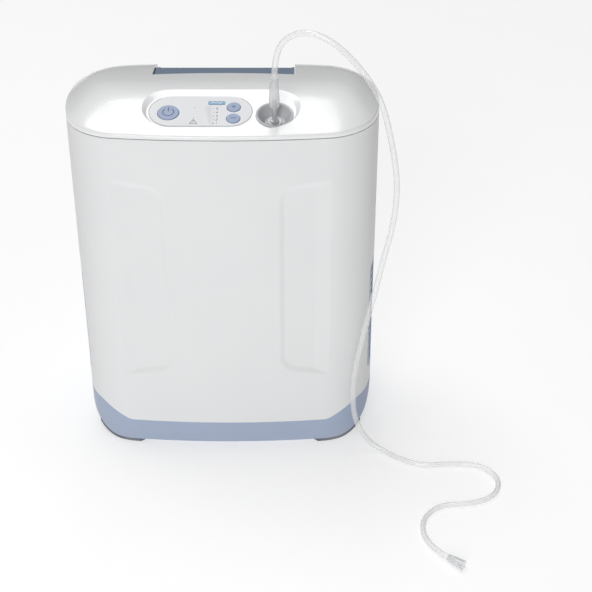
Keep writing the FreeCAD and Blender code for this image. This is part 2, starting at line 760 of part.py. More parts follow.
def control_overlay():
    """Thin membrane on the dish's floor, with holes for keys and lenses."""
    low = -PAN_DEPTH
    film = stadium(OVERLAY_LEFT, OVERLAY_RIGHT, OVERLAY_FRONT, OVERLAY_REAR, low, low + OVERLAY_THICK)
    for x, y, r in (POWER_KEY, PLUS_KEY, MINUS_KEY):
        film = film.cut(rod(r + KEY_GAP, V(x, y, -30), Z_AXIS, 60))
    for x, y in led_places():
        film = film.cut(rod(LED_RADIUS, V(x, y, -30), Z_AXIS, 60))
    return on_panel(film)


def key(x, y, r):
    """Push key with a soft rim, a retaining flange under the floor and a plunger."""
    top = -PAN_DEPTH + OVERLAY_THICK + KEY_PROUD
    under = -PAN_DEPTH - PAN_FLOOR - KEY_GAP
    body = rod(r, V(x, y, under), Z_AXIS, top - under)
    body = body.makeFillet(0.7, [e for e in body.Edges if e.BoundBox.ZMin > top - 0.1])
    flange = rod(r + KEY_FLANGE, V(x, y, under - KEY_FLANGE_THICK), Z_AXIS, KEY_FLANGE_THICK)
    plunger = rod(1.5, V(x, y, under - KEY_FLANGE_THICK - 2), Z_AXIS, 2)
    return on_panel(body.fuse(flange).fuse(plunger))


def keypad_depth():
    """Height of the keypad board's upper face in the panel's frame."""
    plunger_end = -PAN_DEPTH - PAN_FLOOR - KEY_GAP - KEY_FLANGE_THICK - 2
    return plunger_end - KEY_STROKE - 0.4 - 1.5


def keypad_board():
    """Circuit board under the panel."""
    top = keypad_depth()
    left, right = OVERLAY_LEFT + 4, OVERLAY_RIGHT - 2
    front, rear = OVERLAY_FRONT + 3, OVERLAY_REAR - 2
    return on_panel(stadium(left, right, front, rear, top - BOARD_THICK, top))


def switch_domes():
    """Three switches on the keypad board, one under each key."""
    top = keypad_depth()
    return [on_panel(rod(3, V(x, y, top), Z_AXIS, 1.5)) for x, y, r in (POWER_KEY, PLUS_KEY, MINUS_KEY)]


def lens(x, y):
    """Clear light pipe from the board to the overlay."""
    low = keypad_depth()
    return on_panel(rod(LED_RADIUS, V(x, y, low), Z_AXIS, -PAN_DEPTH + OVERLAY_THICK + 0.15 - low))


def badge():
    """Plain oblong badge on the overlay."""
    x0, x1, y0, y1 = BADGE
    z = -PAN_DEPTH + OVERLAY_THICK
    corners = [V(x0, y0, z), V(x1, y0, z), V(x1, y1, z), V(x0, y1, z)]
    return on_panel(prism(corners, [BADGE_CORNER] * 4, V(0, 0, BADGE_THICK)))


def nozzle_cup():
    """Bowl around the outlet, with a rounded lip that rests on the dish's floor."""
    floor = -PAN_DEPTH
    lip, mouth, low = WELL_LIP_RADIUS, WELL_MOUTH_RADIUS, WELL_FLOOR_RADIUS
    bottom = floor - WELL_DEPTH
    t = WELL_WALL
    outline = [
        (lip, floor), (lip - 0.4, floor + 1.8), (mouth, floor + 1.2), (low, bottom), (0, bottom),
        (0, bottom - t), (low + 1, bottom - t), (mouth + t, floor - 3), (mouth + t, floor),
    ]
    points = [V(r, 0, z) for r, z in outline]
    edges = rounded_edges(points, [0, 1.2, 1.6, 2.0, 0, 0, 2.0, 0, 0])
    bowl = Part.Face(Part.Wire(edges)).revolve(V(0, 0, 0), Z_AXIS, 360)
    bowl = bowl.cut(rod(SPIGOT_RADIUS + 2.2, V(0, 0, bottom - 5), Z_AXIS, 10))
    bowl.translate(V(WELL_X, WELL_Y, 0))
    return on_panel(bowl)


def outlet_nozzle():
    """Spigot with a flange in the bowl and a barbed end that the tube's cuff is pushed on."""
    base = -PAN_DEPTH - WELL_DEPTH
    r, s = SPIGOT_RADIUS, SPIGOT_BORE
    outline = [
        (s, base - 12), (r + 1.4, base - 12), (r + 1.4, base - WELL_WALL - 0.02),
        (r + 2.2, base - WELL_WALL - 0.02), (r + 2.2, base), (8.6, base),
        (8.6, base + 1.6), (7.0, base + 2.4), (r + 2.2, base + 2.4),
        (r + 2.0, base + 4.0), (r, base + 4.6), (r, SPIGOT_TOP - 3), (r - 0.7, SPIGOT_TOP), (s, SPIGOT_TOP),
    ]
    edges = rounded_edges([V(a, 0, z) for a, z in outline], [0] * len(outline))
    spigot = Part.Face(Part.Wire(edges)).revolve(V(0, 0, 0), Z_AXIS, 360)
    spigot.translate(V(WELL_X, WELL_Y, 0))
    return on_panel(spigot)


# ---------------------------------------------------------------- tube
def route_points():
    """Corner points of the tube, from inside the nozzle's cuff to the far cuff."""
    start = panel_point(WELL_X, WELL_Y, TUBE_START)
    ahead = panel_point(WELL_X, WELL_Y, TUBE_START + TUBE_STRAIGHT)
    return [start, ahead] + [V(*p) for p in ROUTE]


def oxygen_tube():
    """Clear tube: straight runs joined by tangent arcs as large as the runs allow."""
    points = route_points()
    radii = [0.0] * len(points)
    for i in range(1, len(points) - 1):
        back, ahead = points[i - 1] - points[i], points[i + 1] - points[i]
        half_turn = (math.pi - back.getAngle(ahead)) / 2
        radii[i] = 0.45 * min(back.Length, ahead.Length) / math.tan(half_turn)
    path = Part.Wire(rounded_edges(points, radii, closed=False))
    direction = points[1] - points[0]
    section = Part.Wire(Part.Circle(points[0], direction, TUBE_RADIUS).toShape())
    tube = path.makePipeShell([section], True, True)
    print("tube radii", [round(r, 1) for r in radii[1:-1]])
    expected = math.pi * TUBE_RADIUS ** 2 * path.Length
    print(f"tube length {path.Length:.1f}  volume / (section x length) {tube.Volume / expected:.4f}")
    return tube


def tube_nozzle_cuff():
    """Soft flared cuff between the nozzle and the tube."""
    outline = [
        (SPIGOT_RADIUS, CUFF_BOTTOM), (CUFF_RADIUS, CUFF_BOTTOM), (CUFF_RADIUS, CUFF_BOTTOM + 7),
        (CUFF_NECK_RADIUS + 0.5, CUFF_TOP - 9), (CUFF_NECK_RADIUS, CUFF_TOP), (TUBE_RADIUS, CUFF_TOP),
        (TUBE_RADIUS, TUBE_START), (SPIGOT_RADIUS, TUBE_START),
    ]
    edges = rounded_edges([V(a, 0, z) for a, z in outline], [0, 0.8, 6, 6, 0.6, 0, 0, 0])
    cuff = Part.Face(Part.Wire(edges)).revolve(V(0, 0, 0), Z_AXIS, 360)
    cuff.translate(V(WELL_X, WELL_Y, 0))
    return on_panel(cuff)


def tube_end_cuff():
    """Flared socket on the far end of the tube."""
    end, before = V(*ROUTE[-1]), V(*ROUTE[-2])
    direction = (end - before).normalize()
    outer = Part.makeCone(END_CUFF_NECK, END_CUFF_RADIUS, END_CUFF_LENGTH, end, direction)
    bore = rod(END_CUFF_BORE, end + direction * 5, direction, END_CUFF_LENGTH)
    return outer.cut(bore).cut(rod(1.5, end, direction, 6))


# ---------------------------------------------------------------- back of the case
def door_area(gap, y0, y1):
    """Rounded window of the filter door."""
    half = FILTER_HALF + gap
    return slab(-half, half, FILTER_BOTTOM_Z - gap, FILTER_TOP_Z + gap, FILTER_CORNER + gap, y0, y1)


def filter_cover():
    """Slotted door that pulls straight off the back, with four pegs."""
    wall = oval(0, FILTER_BOTTOM_Z - 1, FILTER_TOP_Z + 1).cut(oval(WALL, 0, 500))
    door = wall.common(door_area(0, 50, 200))
    pitch = (FILTER_TOP_Z - FILTER_BOTTOM_Z - 24) / FILTER_SLOTS
    for i in range(FILTER_SLOTS):
        z = FILTER_BOTTOM_Z + 12 + pitch * (i + 0.5)
        door = door.cut(slab(-FILTER_HALF + 14, FILTER_HALF - 14, z - 2.5, z + 2.5, 2.2, 50, 200))
    for sx in (-1, 1):
        for z in (FILTER_BOTTOM_Z + 8, FILTER_TOP_Z - 8):
            x = sx * (FILTER_HALF - 6)
            door = door.fuse(rod(2.2, V(x, outline_y(x) - 9, z), Y_AXIS, 7))
    return door


def foam_back():
    """Depth of the foam's outer face."""
    return outline_y(FILTER_HALF) - WALL - 0.4


def particle_filter():
    """Foam block that the door holds."""
    y1 = foam_back()
    half = FILTER_HALF - FOAM_SIDE_INSET
    low, high = FILTER_BOTTOM_Z + FOAM_END_INSET, FILTER_TOP_Z - FOAM_END_INSET
    return slab(-half, half, low, high, 4, y1 - FOAM_THICK, y1)


def filter_housing():
    """Tray behind the door, with a slotted back that lets air into the case."""
    y1 = outline_y(FILTER_HALF) - WALL - 1.2
    y0 = y1 - FOAM_THICK - 7
    g = 2.5
    outer = slab(-FILTER_HALF - g, FILTER_HALF + g, FILTER_BOTTOM_Z - g, FILTER_TOP_Z + g, 8, y0, y1)
    inner = slab(-FILTER_HALF, FILTER_HALF, FILTER_BOTTOM_Z, FILTER_TOP_Z, 6, y0 + 2, y1 + 1)
    tray = outer.cut(inner)
    for i in range(9):
        x = (i - 4) * 12.0
        tray = tray.cut(slab(x - 3, x + 3, FILTER_BOTTOM_Z + 18, FILTER_TOP_Z - 18, 2, y0 - 1, y0 + 3))
    return tray


def exhaust_grille():
    """Round slotted grille over the fan."""
    wall = oval(0.4, FAN_Z - 60, FAN_Z + 60).cut(oval(WALL, 0, 500))
    grille = wall.common(rod(GRILLE_RADIUS, V(FAN_X, 40, FAN_Z), Y_AXIS, 100))
    pitch = 2 * GRILLE_RADIUS / (GRILLE_SLOTS + 1)
    for i in range(GRILLE_SLOTS):
        z = FAN_Z - GRILLE_RADIUS + pitch * (i + 1)
        half = math.sqrt(GRILLE_RADIUS ** 2 - (z - FAN_Z) ** 2) - 6
        for sx in (-1, 1):
            x0, x1 = sorted((FAN_X + sx * 2.5, FAN_X + sx * half))
            grille = grille.cut(slab(x0, x1, z - 3.2, z + 3.2, 2.6, 40, 200))
    return grille


def inlet_face():
    """Depth of the mains inlet's outer face, a little inside the curved wall."""
    return corner_y(INLET_X + INLET_WIDTH / 2 + 4) - INLET_SET_BACK


def inlet_block(grow, radius, y0, y1):
    """Rounded block on the mains inlet's axis, grown by an amount."""
    w, h = INLET_WIDTH / 2 + grow, INLET_HEIGHT / 2 + grow
    return slab(INLET_X - w, INLET_X + w, INLET_Z - h, INLET_Z + h, radius, y0, y1)


def ac_inlet():
    """Mains inlet set back in the wall, with a socket open to the back."""
    face = inlet_face()
    flange = inlet_block(3.5, 2.5, face - 3, face)
    body = inlet_block(1, 2, face - 22, face)
    socket = inlet_block(-1.5, 3, face - INLET_DEPTH, face + 1)
    collar = inlet_block(4, 3, face - 3, 100).cut(inlet_block(2, 2, face - 4, 101))
    collar = collar.common(oval(0.2, 0, 500))
    return flange.fuse(body).fuse(collar).cut(socket)


def inlet_pins():
    """Three flat blades in the mains socket."""
    face = inlet_face()
    pins = []
    for dx, dz in ((-7.0, -2.5), (0.0, 2.5), (7.0, -2.5)):
        x, z = INLET_X + dx, INLET_Z + dz
        pins.append(box(x - 1, x + 1, face - INLET_DEPTH, face - 3, z - 2, z + 2))
    return pins


def rating_label():
    """Blank plate on the back."""
    half_w, half_h = LABEL_WIDTH / 2, LABEL_HEIGHT / 2
    low, high = LABEL_Z - half_h, LABEL_Z + half_h
    wall = oval(0, low - 1, high + 1).cut(oval(0.3, 0, 500))
    return wall.common(slab(LABEL_X - half_w, LABEL_X + half_w, low, high, 3, 40, 200))


# ---------------------------------------------------------------- machinery
def chassis():
    """Sheet floor on the base's posts, with a divider that stands up behind the compressor."""
    plate = box(-125, 125, -58, 62, CHASSIS_Z, CHASSIS_Z + CHASSIS_THICK)
    plate = plate.common(oval(WALL + 6, 0, 500))
    divider = box(-132, 132, DIVIDER_Y, DIVIDER_Y + CHASSIS_THICK, CHASSIS_Z, DIVIDER_TOP_Z)
    divider = divider.cut(rod(10, V(-40, DIVIDER_Y - 1, 300), Y_AXIS, 5))
    divider = divider.cut(rod(GRILLE_RADIUS - 4, V(FAN_X, DIVIDER_Y - 1, FAN_Z), Y_AXIS, 5))
    return plate.fuse(divider)


def crankcase():
    """Compressor housing: a motor barrel with a crank chamber and cylinder at each end."""
    barrel = rod(MOTOR_RADIUS + 4, V(-MOTOR_HALF - 4, MOTOR_Y, MOTOR_Z), X_AXIS, 2 * MOTOR_HALF + 8)
    barrel = barrel.cut(rod(MOTOR_RADIUS, V(-MOTOR_HALF, MOTOR_Y, MOTOR_Z), X_AXIS, 2 * MOTOR_HALF))
    case = barrel
    for side in (-1, 1):
        inner_x = side * (MOTOR_HALF + 4)
        chamber = rod(32, V(inner_x, MOTOR_Y, MOTOR_Z), X_AXIS * side, 48)
        tower = rod(BORE_RADIUS + 4, V(side * HEAD_X, MOTOR_Y, MOTOR_Z), Z_AXIS, 52)
        case = case.fuse(chamber).fuse(tower)
        x = side * HEAD_X
        case = case.fuse(box(x - 20, x + 20, MOTOR_Y - 28, MOTOR_Y + 28, MOTOR_Z - 44, MOTOR_Z - 24))
    for side in (-1, 1):
        hollow = rod(27, V(side * (MOTOR_HALF + 7), MOTOR_Y, MOTOR_Z), X_AXIS * side, 42)
        bore = rod(BORE_RADIUS, V(side * HEAD_X, MOTOR_Y, MOTOR_Z), Z_AXIS, 60)
        case = case.cut(hollow).cut(bore)
    return case.cut(rod(SHAFT_RADIUS + SHAFT_GAP, V(-90, MOTOR_Y, MOTOR_Z), X_AXIS, 180))


def crankshaft():
    """Shaft with the motor's rotor and an eccentric at each end."""
    shaft = rod(SHAFT_RADIUS, V(-76, MOTOR_Y, MOTOR_Z), X_AXIS, 152)
    rotor = rod(24, V(-24, MOTOR_Y, MOTOR_Z), X_AXIS, 48)
    shaft = shaft.fuse(rotor)
    for side in (-1, 1):
        pin = rod(CRANK_PIN_RADIUS, V(side * HEAD_X - 5, MOTOR_Y, MOTOR_Z + CRANK_THROW), X_AXIS, 10)
        shaft = shaft.fuse(pin)
    return shaft


def piston(side):
    """Wobble piston: a cup in the bore on a rod whose eye goes round the eccentric."""
    x = side * HEAD_X
    eye_bore = CRANK_PIN_RADIUS + CRANK_THROW + PISTON_TRAVEL + 0.6
    top = MOTOR_Z + 44
    eye = rod(eye_bore + 3, V(x - 4, MOTOR_Y, MOTOR_Z), X_AXIS, 8)
    stem = box(x - 3, x + 3, MOTOR_Y - 5, MOTOR_Y + 5, MOTOR_Z + eye_bore, top - 3)
    crown = rod(BORE_RADIUS - 0.4, V(x, MOTOR_Y, top - 5), Z_AXIS, 5)
    return eye.fuse(stem).fuse(crown).cut(rod(eye_bore, V(x - 6, MOTOR_Y, MOTOR_Z), X_AXIS, 12))


def motor_stator():
    """Laminated ring around the rotor."""
    return ring(MOTOR_RADIUS, 26, V(-22, MOTOR_Y, MOTOR_Z), X_AXIS, 44)


def cylinder_heads():
    """Finned head on each cylinder."""
    heads = []
    for side in (-1, 1):
        x = side * HEAD_X
        low = MOTOR_Z + 52
        head = box(x - 27, x + 27, MOTOR_Y - 27, MOTOR_Y + 27, low, low + 5)
        for i in range(6):
            fin_x = x - 25 + i * 9.6
            head = head.fuse(box(fin_x, fin_x + 2, MOTOR_Y - 27, MOTOR_Y + 27, low + 5, low + 13))
        heads.append(head)
    return heads


def isolators():
    """Rubber mounts between compressor and chassis."""
    low = CHASSIS_Z + CHASSIS_THICK
    high = MOTOR_Z - 44
    places = [(sx * HEAD_X, MOTOR_Y + sy * 18) for sx in (-1, 1) for sy in (-1, 1)]
    return [rod(8, V(x, y, low), Z_AXIS, high - low) for x, y in places]


def sieve_bed(side):
    """Sieve column: an aluminium canister with two end caps and a port."""
    x = side * BED_X
    can = rod(BED_RADIUS, V(x, BED_Y, BED_BOTTOM_Z + 10), Z_AXIS, BED_TOP_Z - BED_BOTTOM_Z - 20)
    caps = []
    for z in (BED_BOTTOM_Z, BED_TOP_Z - 12):
        caps.append(rod(BED_RADIUS + 2, V(x, BED_Y, z), Z_AXIS, 12))
    port = rod(4, V(x, BED_Y, BED_TOP_Z), Z_AXIS, 8)
    return can.fuse(caps[0]).fuse(caps[1]).fuse(port)


def product_tank():
    """Tank that evens out the oxygen's pressure."""
    low = MOTOR_Z + 72
    tank = rod(TANK_RADIUS, V(0, -38, low), Z_AXIS, 150)
    ends = [e for e in tank.Edges if e.BoundBox.ZLength < 0.01]
    return tank.makeFillet(8, ends).fuse(rod(4, V(0, -38, low + 149), Z_AXIS, 10))


def valve_manifold():
    """Block that ports air between the beds, with a duct to each of them."""
    block = box(-46, 46, -30, 12, 334, 350)
    arms = box(-BED_X - 8, BED_X + 8, BED_Y - 8, BED_Y + 8, 334, 344)
    return block.fuse(arms)


def solenoid_valves():
    """Four valves on the manifold."""
    valves = []
    for i in range(4):
        x = -33 + i * 22
        valves.append(rod(9, V(x, -8, 350), Z_AXIS, 22))
    return valves


def heat_exchanger():
    """Serpentine of tube in the fan's air."""
    points = []
    rows = 6
    for i in range(rows):
        z = FAN_Z - 35 + i * 14.0
        ends = [V(FAN_X - 34, 36, z), V(FAN_X + 34, 36, z)]
        points += ends if i % 2 == 0 else ends[::-1]
    path = Part.Wire(rounded_edges(points, [6.9] * len(points), closed=False))
    section = Part.Wire(Part.Circle(points[0], X_AXIS, 3.5).toShape())
    return path.makePipeShell([section], True, True)


def fan_back():
    """Depth of the fan's outer face, just inside the back wall."""
    return outline_y(abs(FAN_X) + FAN_SIZE / 2) - WALL - 1.5


def fan_frame():
    """Square frame of the cooling fan with a strut that carries the hub."""
    h = FAN_SIZE / 2
    y1 = fan_back()
    y0 = y1 - FAN_DEPTH
    frame = slab(FAN_X - h, FAN_X + h, FAN_Z - h, FAN_Z + h, 4, y0, y1)
    frame = frame.cut(rod(h - 3, V(FAN_X, y0 - 1, FAN_Z), Y_AXIS, FAN_DEPTH + 2))
    hub = rod(14, V(FAN_X, y0, FAN_Z), Y_AXIS, 4)
    strut = box(FAN_X - h + 1, FAN_X + h - 1, y0, y0 + 4, FAN_Z - 3, FAN_Z + 3)
    post = box(FAN_X - 3, FAN_X + 3, y0, y0 + 4, FAN_Z - h + 1, FAN_Z + h - 1)
    pin = rod(2, V(FAN_X, y0 + 4, FAN_Z), Y_AXIS, 12)
    return frame.fuse(hub).fuse(strut).fuse(post).fuse(pin)


def fan_rotor():
    """Hub with tilted blades."""
    y0 = fan_back() - FAN_DEPTH + 5.5
    hub = rod(15, V(FAN_X, y0, FAN_Z), Y_AXIS, 16)
    rotor = hub
    for i in range(FAN_BLADES):
        blade = box(12, FAN_SIZE / 2 - 6, -1, 1, -9, 9)
        blade.rotate(V(0, 0, 0), X_AXIS, 40)
        blade.rotate(V(0, 0, 0), Y_AXIS, 360.0 * i / FAN_BLADES)
        blade.translate(V(FAN_X, y0 + 8, FAN_Z))
        rotor = rotor.fuse(blade)
    return rotor.cut(rod(2 + SHAFT_GAP, V(FAN_X, y0 - 1, FAN_Z), Y_AXIS, 12))


def power_supply():
    """Vented metal box of the power supply."""
    y0 = DIVIDER_Y + CHASSIS_THICK
    supply = box(6, 106, y0, y0 + 34, 206, 330)
    inner = box(7.5, 104.5, y0 + 1.5, y0 + 32.5, 207.5, 328.5)
    for i in range(6):
        z = 222 + i * 17
        inner = inner.fuse(box(0, 120, y0 + 10, y0 + 24, z, z + 6))
    return supply.cut(inner)


def main_board():
    """Control board on the divider, with its larger components."""
    y0 = DIVIDER_Y + CHASSIS_THICK + 2
    y1 = y0 + BOARD_THICK
    board = box(10, 124, y0, y1, 80, 196)
    processor = box(20, 38, y1, y1 + 3, 96, 114)
    terminal = box(52, 78, y1, y1 + 8, 110, 122)
    capacitor = box(88, 102, y1, y1 + 12, 90, 114)
    relay = box(24, 54, y1, y1 + 6, 150, 170)
    transformer = box(80, 108, y1, y1 + 9, 150, 178)
    return [board, processor, terminal, capacitor, relay, transformer]


def oxygen_sensor():
    """Ultrasonic sensor block with two ports."""
    return box(-28, 12, -22, -2, 376, 386)


def outlet_filter():
    """Round in-line filter below the outlet."""
    low = panel_point(WELL_X, WELL_Y, -PAN_DEPTH - WELL_DEPTH - 13)
    return rod(14, V(low.x, low.y + 2, low.z - 16), Z_AXIS, 10)


def intake_muffler():
    """Box that quietens the air going to the compressor."""
    y0 = DIVIDER_Y + CHASSIS_THICK
    return slab(-120, -66, 70, 190, 8, y0, y0 + 34)


def buzzer():
    """Alarm sounder on the main board."""
    y0 = DIVIDER_Y + CHASSIS_THICK + 3.6
    return rod(7, V(66, y0, 184), Y_AXIS, 8)


def hose(points, bend, radius):
    """Hose along rounded corners."""
    path = Part.Wire(rounded_edges(points, [bend] * len(points), closed=False))
    section = Part.Wire(Part.Circle(points[0], points[1] - points[0], radius).toShape())
    return path.makePipeShell([section], True, True)


def feed_hoses():
    """Hoses from the two cylinder heads up to the manifold."""
    low = MOTOR_Z + 65
    hoses = []
    for side in (-1, 1):
        head, port = side * HEAD_X, side * 36
        points = [V(head, 15, low - 9), V(head, 15, 322), V(port, 4, 322), V(port, 4, 334)]
        hoses.append(hose(points, 5, 4))
    return hoses


def build():
    """Make every node and write its STEP file."""
    os.makedirs("parts", exist_ok=True)
    wall = case_wall()
    save("front_shell", front_shell(wall))
    save("rear_shell", rear_shell(wall))
    save("top_cap", top_cap())
    save("cap_gasket", cap_gasket())
    save("handle", handle())
    save("handle_pocket", handle_pocket())
    save("base_tray", base_tray())
    for name, (x, y) in zip(("front_left", "front_right", "rear_left", "rear_right"), foot_places()):
        save("foot_" + name, foot(x, y))
    save("control_overlay", control_overlay())
    save("power_button", key(*POWER_KEY))
    save("plus_button", key(*PLUS_KEY))
    save("minus_button", key(*MINUS_KEY))
    save("status_lenses", Part.Compound([lens(*p) for p in led_places()[:2]]))
    save("flow_lenses", Part.Compound([lens(*p) for p in led_places()[2:]]))
    save("badge", badge())
    save("keypad_board", keypad_board())
    save("switch_domes", Part.Compound(switch_domes()))
    save("nozzle_cup", nozzle_cup())
    save("outlet_nozzle", outlet_nozzle())
    save("tube_nozzle_cuff", tube_nozzle_cuff())
    save("oxygen_tube", oxygen_tube())
    save("tube_end_cuff", tube_end_cuff())
    save("side_vent_left", side_vent(-1))
    save("side_vent_right", side_vent(1))
    save("filter_cover", filter_cover())
    save("particle_filter", particle_filter())
    save("filter_housing", filter_housing())
    save("exhaust_grille", exhaust_grille())
    save("ac_inlet", ac_inlet())
    save("inlet_pins", Part.Compound(inlet_pins()))
    save("rating_label", rating_label())
    save("case_screws", Part.Compound(case_screws()))
    save("chassis", chassis())
    save("crankcase", crankcase())
    save("motor_stator", motor_stator())
    save("crankshaft", crankshaft())
    save("piston_left", piston(-1))
    save("piston_right", piston(1))
    save("cylinder_heads", Part.Compound(cylinder_heads()))
    save("isolators", Part.Compound(isolators()))
    save("sieve_bed_left", sieve_bed(-1))
    save("sieve_bed_right", sieve_bed(1))
    save("product_tank", product_tank())
    save("valve_manifold", valve_manifold())
    save("solenoid_valves", Part.Compound(solenoid_valves()))
    save("heat_exchanger", heat_exchanger())
    save("fan_frame", fan_frame())
    save("fan_rotor", fan_rotor())
    save("power_supply", power_supply())
    save("main_board", Part.Compound(main_board()))
    save("oxygen_sensor", oxygen_sensor())
    save("outlet_filter", outlet_filter())
    save("intake_muffler", intake_muffler())
    save("buzzer", buzzer())
    save("feed_hoses", Part.Compound(feed_hoses()))


build()
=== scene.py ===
# %% [markdown]
# # A home oxygen concentrator
# A white oval case stands on a blue-grey base. Its glossy cap slopes to the front and carries
# the keys and the outlet, and a clear tube arches from the outlet down to the floor. The packed
# model gives every part its size and place. What follows adds light, finishes, print and soft
# parts to it. The first cell loads the model.

# %% Load the frame
import math
import bpy
import numpy as np
from mathutils import Matrix, Vector


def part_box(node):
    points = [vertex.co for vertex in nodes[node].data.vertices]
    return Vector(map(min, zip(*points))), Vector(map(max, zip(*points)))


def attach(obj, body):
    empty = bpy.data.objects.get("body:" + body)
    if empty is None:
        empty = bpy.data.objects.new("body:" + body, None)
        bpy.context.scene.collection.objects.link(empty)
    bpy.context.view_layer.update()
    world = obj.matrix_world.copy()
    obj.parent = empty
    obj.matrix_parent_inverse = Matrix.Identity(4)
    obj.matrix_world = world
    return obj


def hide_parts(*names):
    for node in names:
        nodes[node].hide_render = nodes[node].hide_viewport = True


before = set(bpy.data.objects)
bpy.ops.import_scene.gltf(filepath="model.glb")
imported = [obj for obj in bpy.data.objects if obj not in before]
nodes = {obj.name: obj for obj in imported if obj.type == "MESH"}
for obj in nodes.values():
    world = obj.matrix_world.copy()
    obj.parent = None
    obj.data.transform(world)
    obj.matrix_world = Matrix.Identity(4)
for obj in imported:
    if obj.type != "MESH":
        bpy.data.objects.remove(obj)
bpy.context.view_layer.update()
MM = 0.001

# %% [markdown]
# The camera stands a little to the right of the machine and looks down at it, so that the front,
# the cap and the right edge all show. A long lens keeps the upright edges close to parallel. It
# is set first, because the loose tube is measured against what the camera sees.

# %% Camera
CAMERA_PLACE = (0.077, -1.3352, 1.014)
CAMERA_PITCH_DOWN = math.radians(33)
CAMERA_LENS = 83.96

camera_data = bpy.data.cameras.new("camera")
camera_data.sensor_width = 36
camera_data.lens = CAMERA_LENS
camera = bpy.data.objects.new("camera", camera_data)
camera.location = CAMERA_PLACE
camera.rotation_euler = (math.pi / 2 - CAMERA_PITCH_DOWN, 0, 0)
bpy.context.scene.collection.objects.link(camera)
bpy.context.scene.camera = camera
print("camera", CAMERA_PLACE)

# %% [markdown]
# The control panel and the outlet don't lie flat: they belong to a plane that slopes down to the
# front. Everything printed there is easier to place in that plane's own frame, with x to the
# right, y up the slope and z out of it. One matrix takes such a place to the world. The plane's
# origin comes from the overlay film, whose box tells where the slope starts. The steepness is a
# set angle.

# %% The sloping panel's frame
PANEL_SLOPE = math.radians(15)
OVERLAY_LENGTH = 0.0469
OVERLAY_MIDDLE = -0.00485
OVERLAY_FACE = -0.0026

film_low, film_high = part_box("control_overlay")
along = Vector((0, math.cos(PANEL_SLOPE), math.sin(PANEL_SLOPE)))
outward = Vector((0, -math.sin(PANEL_SLOPE), math.cos(PANEL_SLOPE)))
film_top_back = Vector((0, film_high.y, film_high.z))
panel_origin = film_top_back - along * (OVERLAY_MIDDLE + OVERLAY_LENGTH / 2) - outward * OVERLAY_FACE
PANEL = Matrix.Translation(panel_origin) @ Matrix.Rotation(PANEL_SLOPE, 4, "X")
print("panel origin", [round(v, 4) for v in panel_origin])

# %% [markdown]
# A flexible tube is one smooth line with a round section. A NURBS curve suits it, because its
# control points pull the line towards them without a kink, and the bevel gives it thickness. The
# order is set after the points are added: set before, the line would be straight runs. The tube
# starts inside the cuff on the outlet, leaves square to the sloping panel, arches over, falls
# past the right of the case and lies in two loose curves on the floor.

# %% Oxygen tube
TUBE_DIAMETER = 0.006
TUBE_START = (55.2, -63.7014, 438.4644)
TUBE_ROUTE = [
    TUBE_START, (55.2, -70.9484, 465.5103),
    (63, -77, 493), (86, -85, 506), (112, -91, 498), (138.5, -95, 473), (161, -97, 439),
    (172, -98, 396), (180, -99, 352), (179, -99, 305), (168, -99, 254), (160, -99, 208),
    (152, -98, 172), (145, -96, 129), (140, -95, 91), (142, -94, 50), (150, -94, 25),
    (162, -98, 10), (178, -105, 3), (192, -117, 3), (218, -131, 3), (252, -127, 3),
    (285, -129, 3), (305, -153, 3), (296, -183, 3), (266, -196, 3), (234, -196, 3),
    (210, -223, 3), (216, -262, 3), (236, -280, 4.5),
]

tube_curve = bpy.data.curves.new("oxygen_tube_soft", "CURVE")
tube_curve.dimensions = "3D"
tube_curve.bevel_depth = 1.0  # the thickness is this depth times each point's radius
tube_curve.bevel_resolution = 10
tube_curve.resolution_u = 16
tube_curve.use_fill_caps = True
tube_line = tube_curve.splines.new("NURBS")
tube_line.points.add(len(TUBE_ROUTE) - 1)
weighted = np.column_stack([np.array(TUBE_ROUTE) * MM, np.ones(len(TUBE_ROUTE))])
tube_line.points.foreach_set("co", weighted.ravel())
tube_line.points.foreach_set("radius", np.full(len(TUBE_ROUTE), TUBE_DIAMETER / 2))
tube_line.order_u = 3
tube_line.use_endpoint_u = True
tube = bpy.data.objects.new("oxygen_tube_soft", tube_curve)
bpy.context.scene.collection.objects.link(tube)
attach(tube, "case")
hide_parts("oxygen_tube")
print("tube points", len(TUBE_ROUTE))

# %% [markdown]
# Finishes come next. Every moulded part shares three things: a fine grain from the mould, a slow
# drift in tone and gloss where the plastic cooled unevenly, and faint scuffs. Built once as a
# node group, they can be placed in every material with other values. A group hands out only
# colours, values and heights. The shader itself stays in each material.

# %% Helper: a node group with named sockets
SOCKET = {"colour": "NodeSocketColor", "value": "NodeSocketFloat"}


def effect(name, takes, gives):
    """An empty node group. takes maps input names to default values, gives maps output names to kinds."""
    group = bpy.data.node_groups.new(name, "ShaderNodeTree")
    for label, start in takes.items():
        kind = "value" if isinstance(start, (int, float)) else "colour"
        socket = group.interface.new_socket(label, in_out="INPUT", socket_type=SOCKET[kind])
        socket.default_value = start
    for label, kind in gives.items():
        group.interface.new_socket(label, in_out="OUTPUT", socket_type=SOCKET[kind])
    entry = group.nodes.new("NodeGroupInput")
    leave = group.nodes.new("NodeGroupOutput")
    return group, entry, leave


def add(tree, kind, wires=None, **settings):
    """One node, its settings, and its inputs: a wire where a socket is given, a number where not."""
    node = tree.nodes.new(kind)
    for label, value in settings.items():
        setattr(node, label, value)
    for place, value in (wires or {}).items():
        if isinstance(value, bpy.types.NodeSocket):
            tree.links.new(value, node.inputs[place])
        else:
            node.inputs[place].default_value = value
    return node


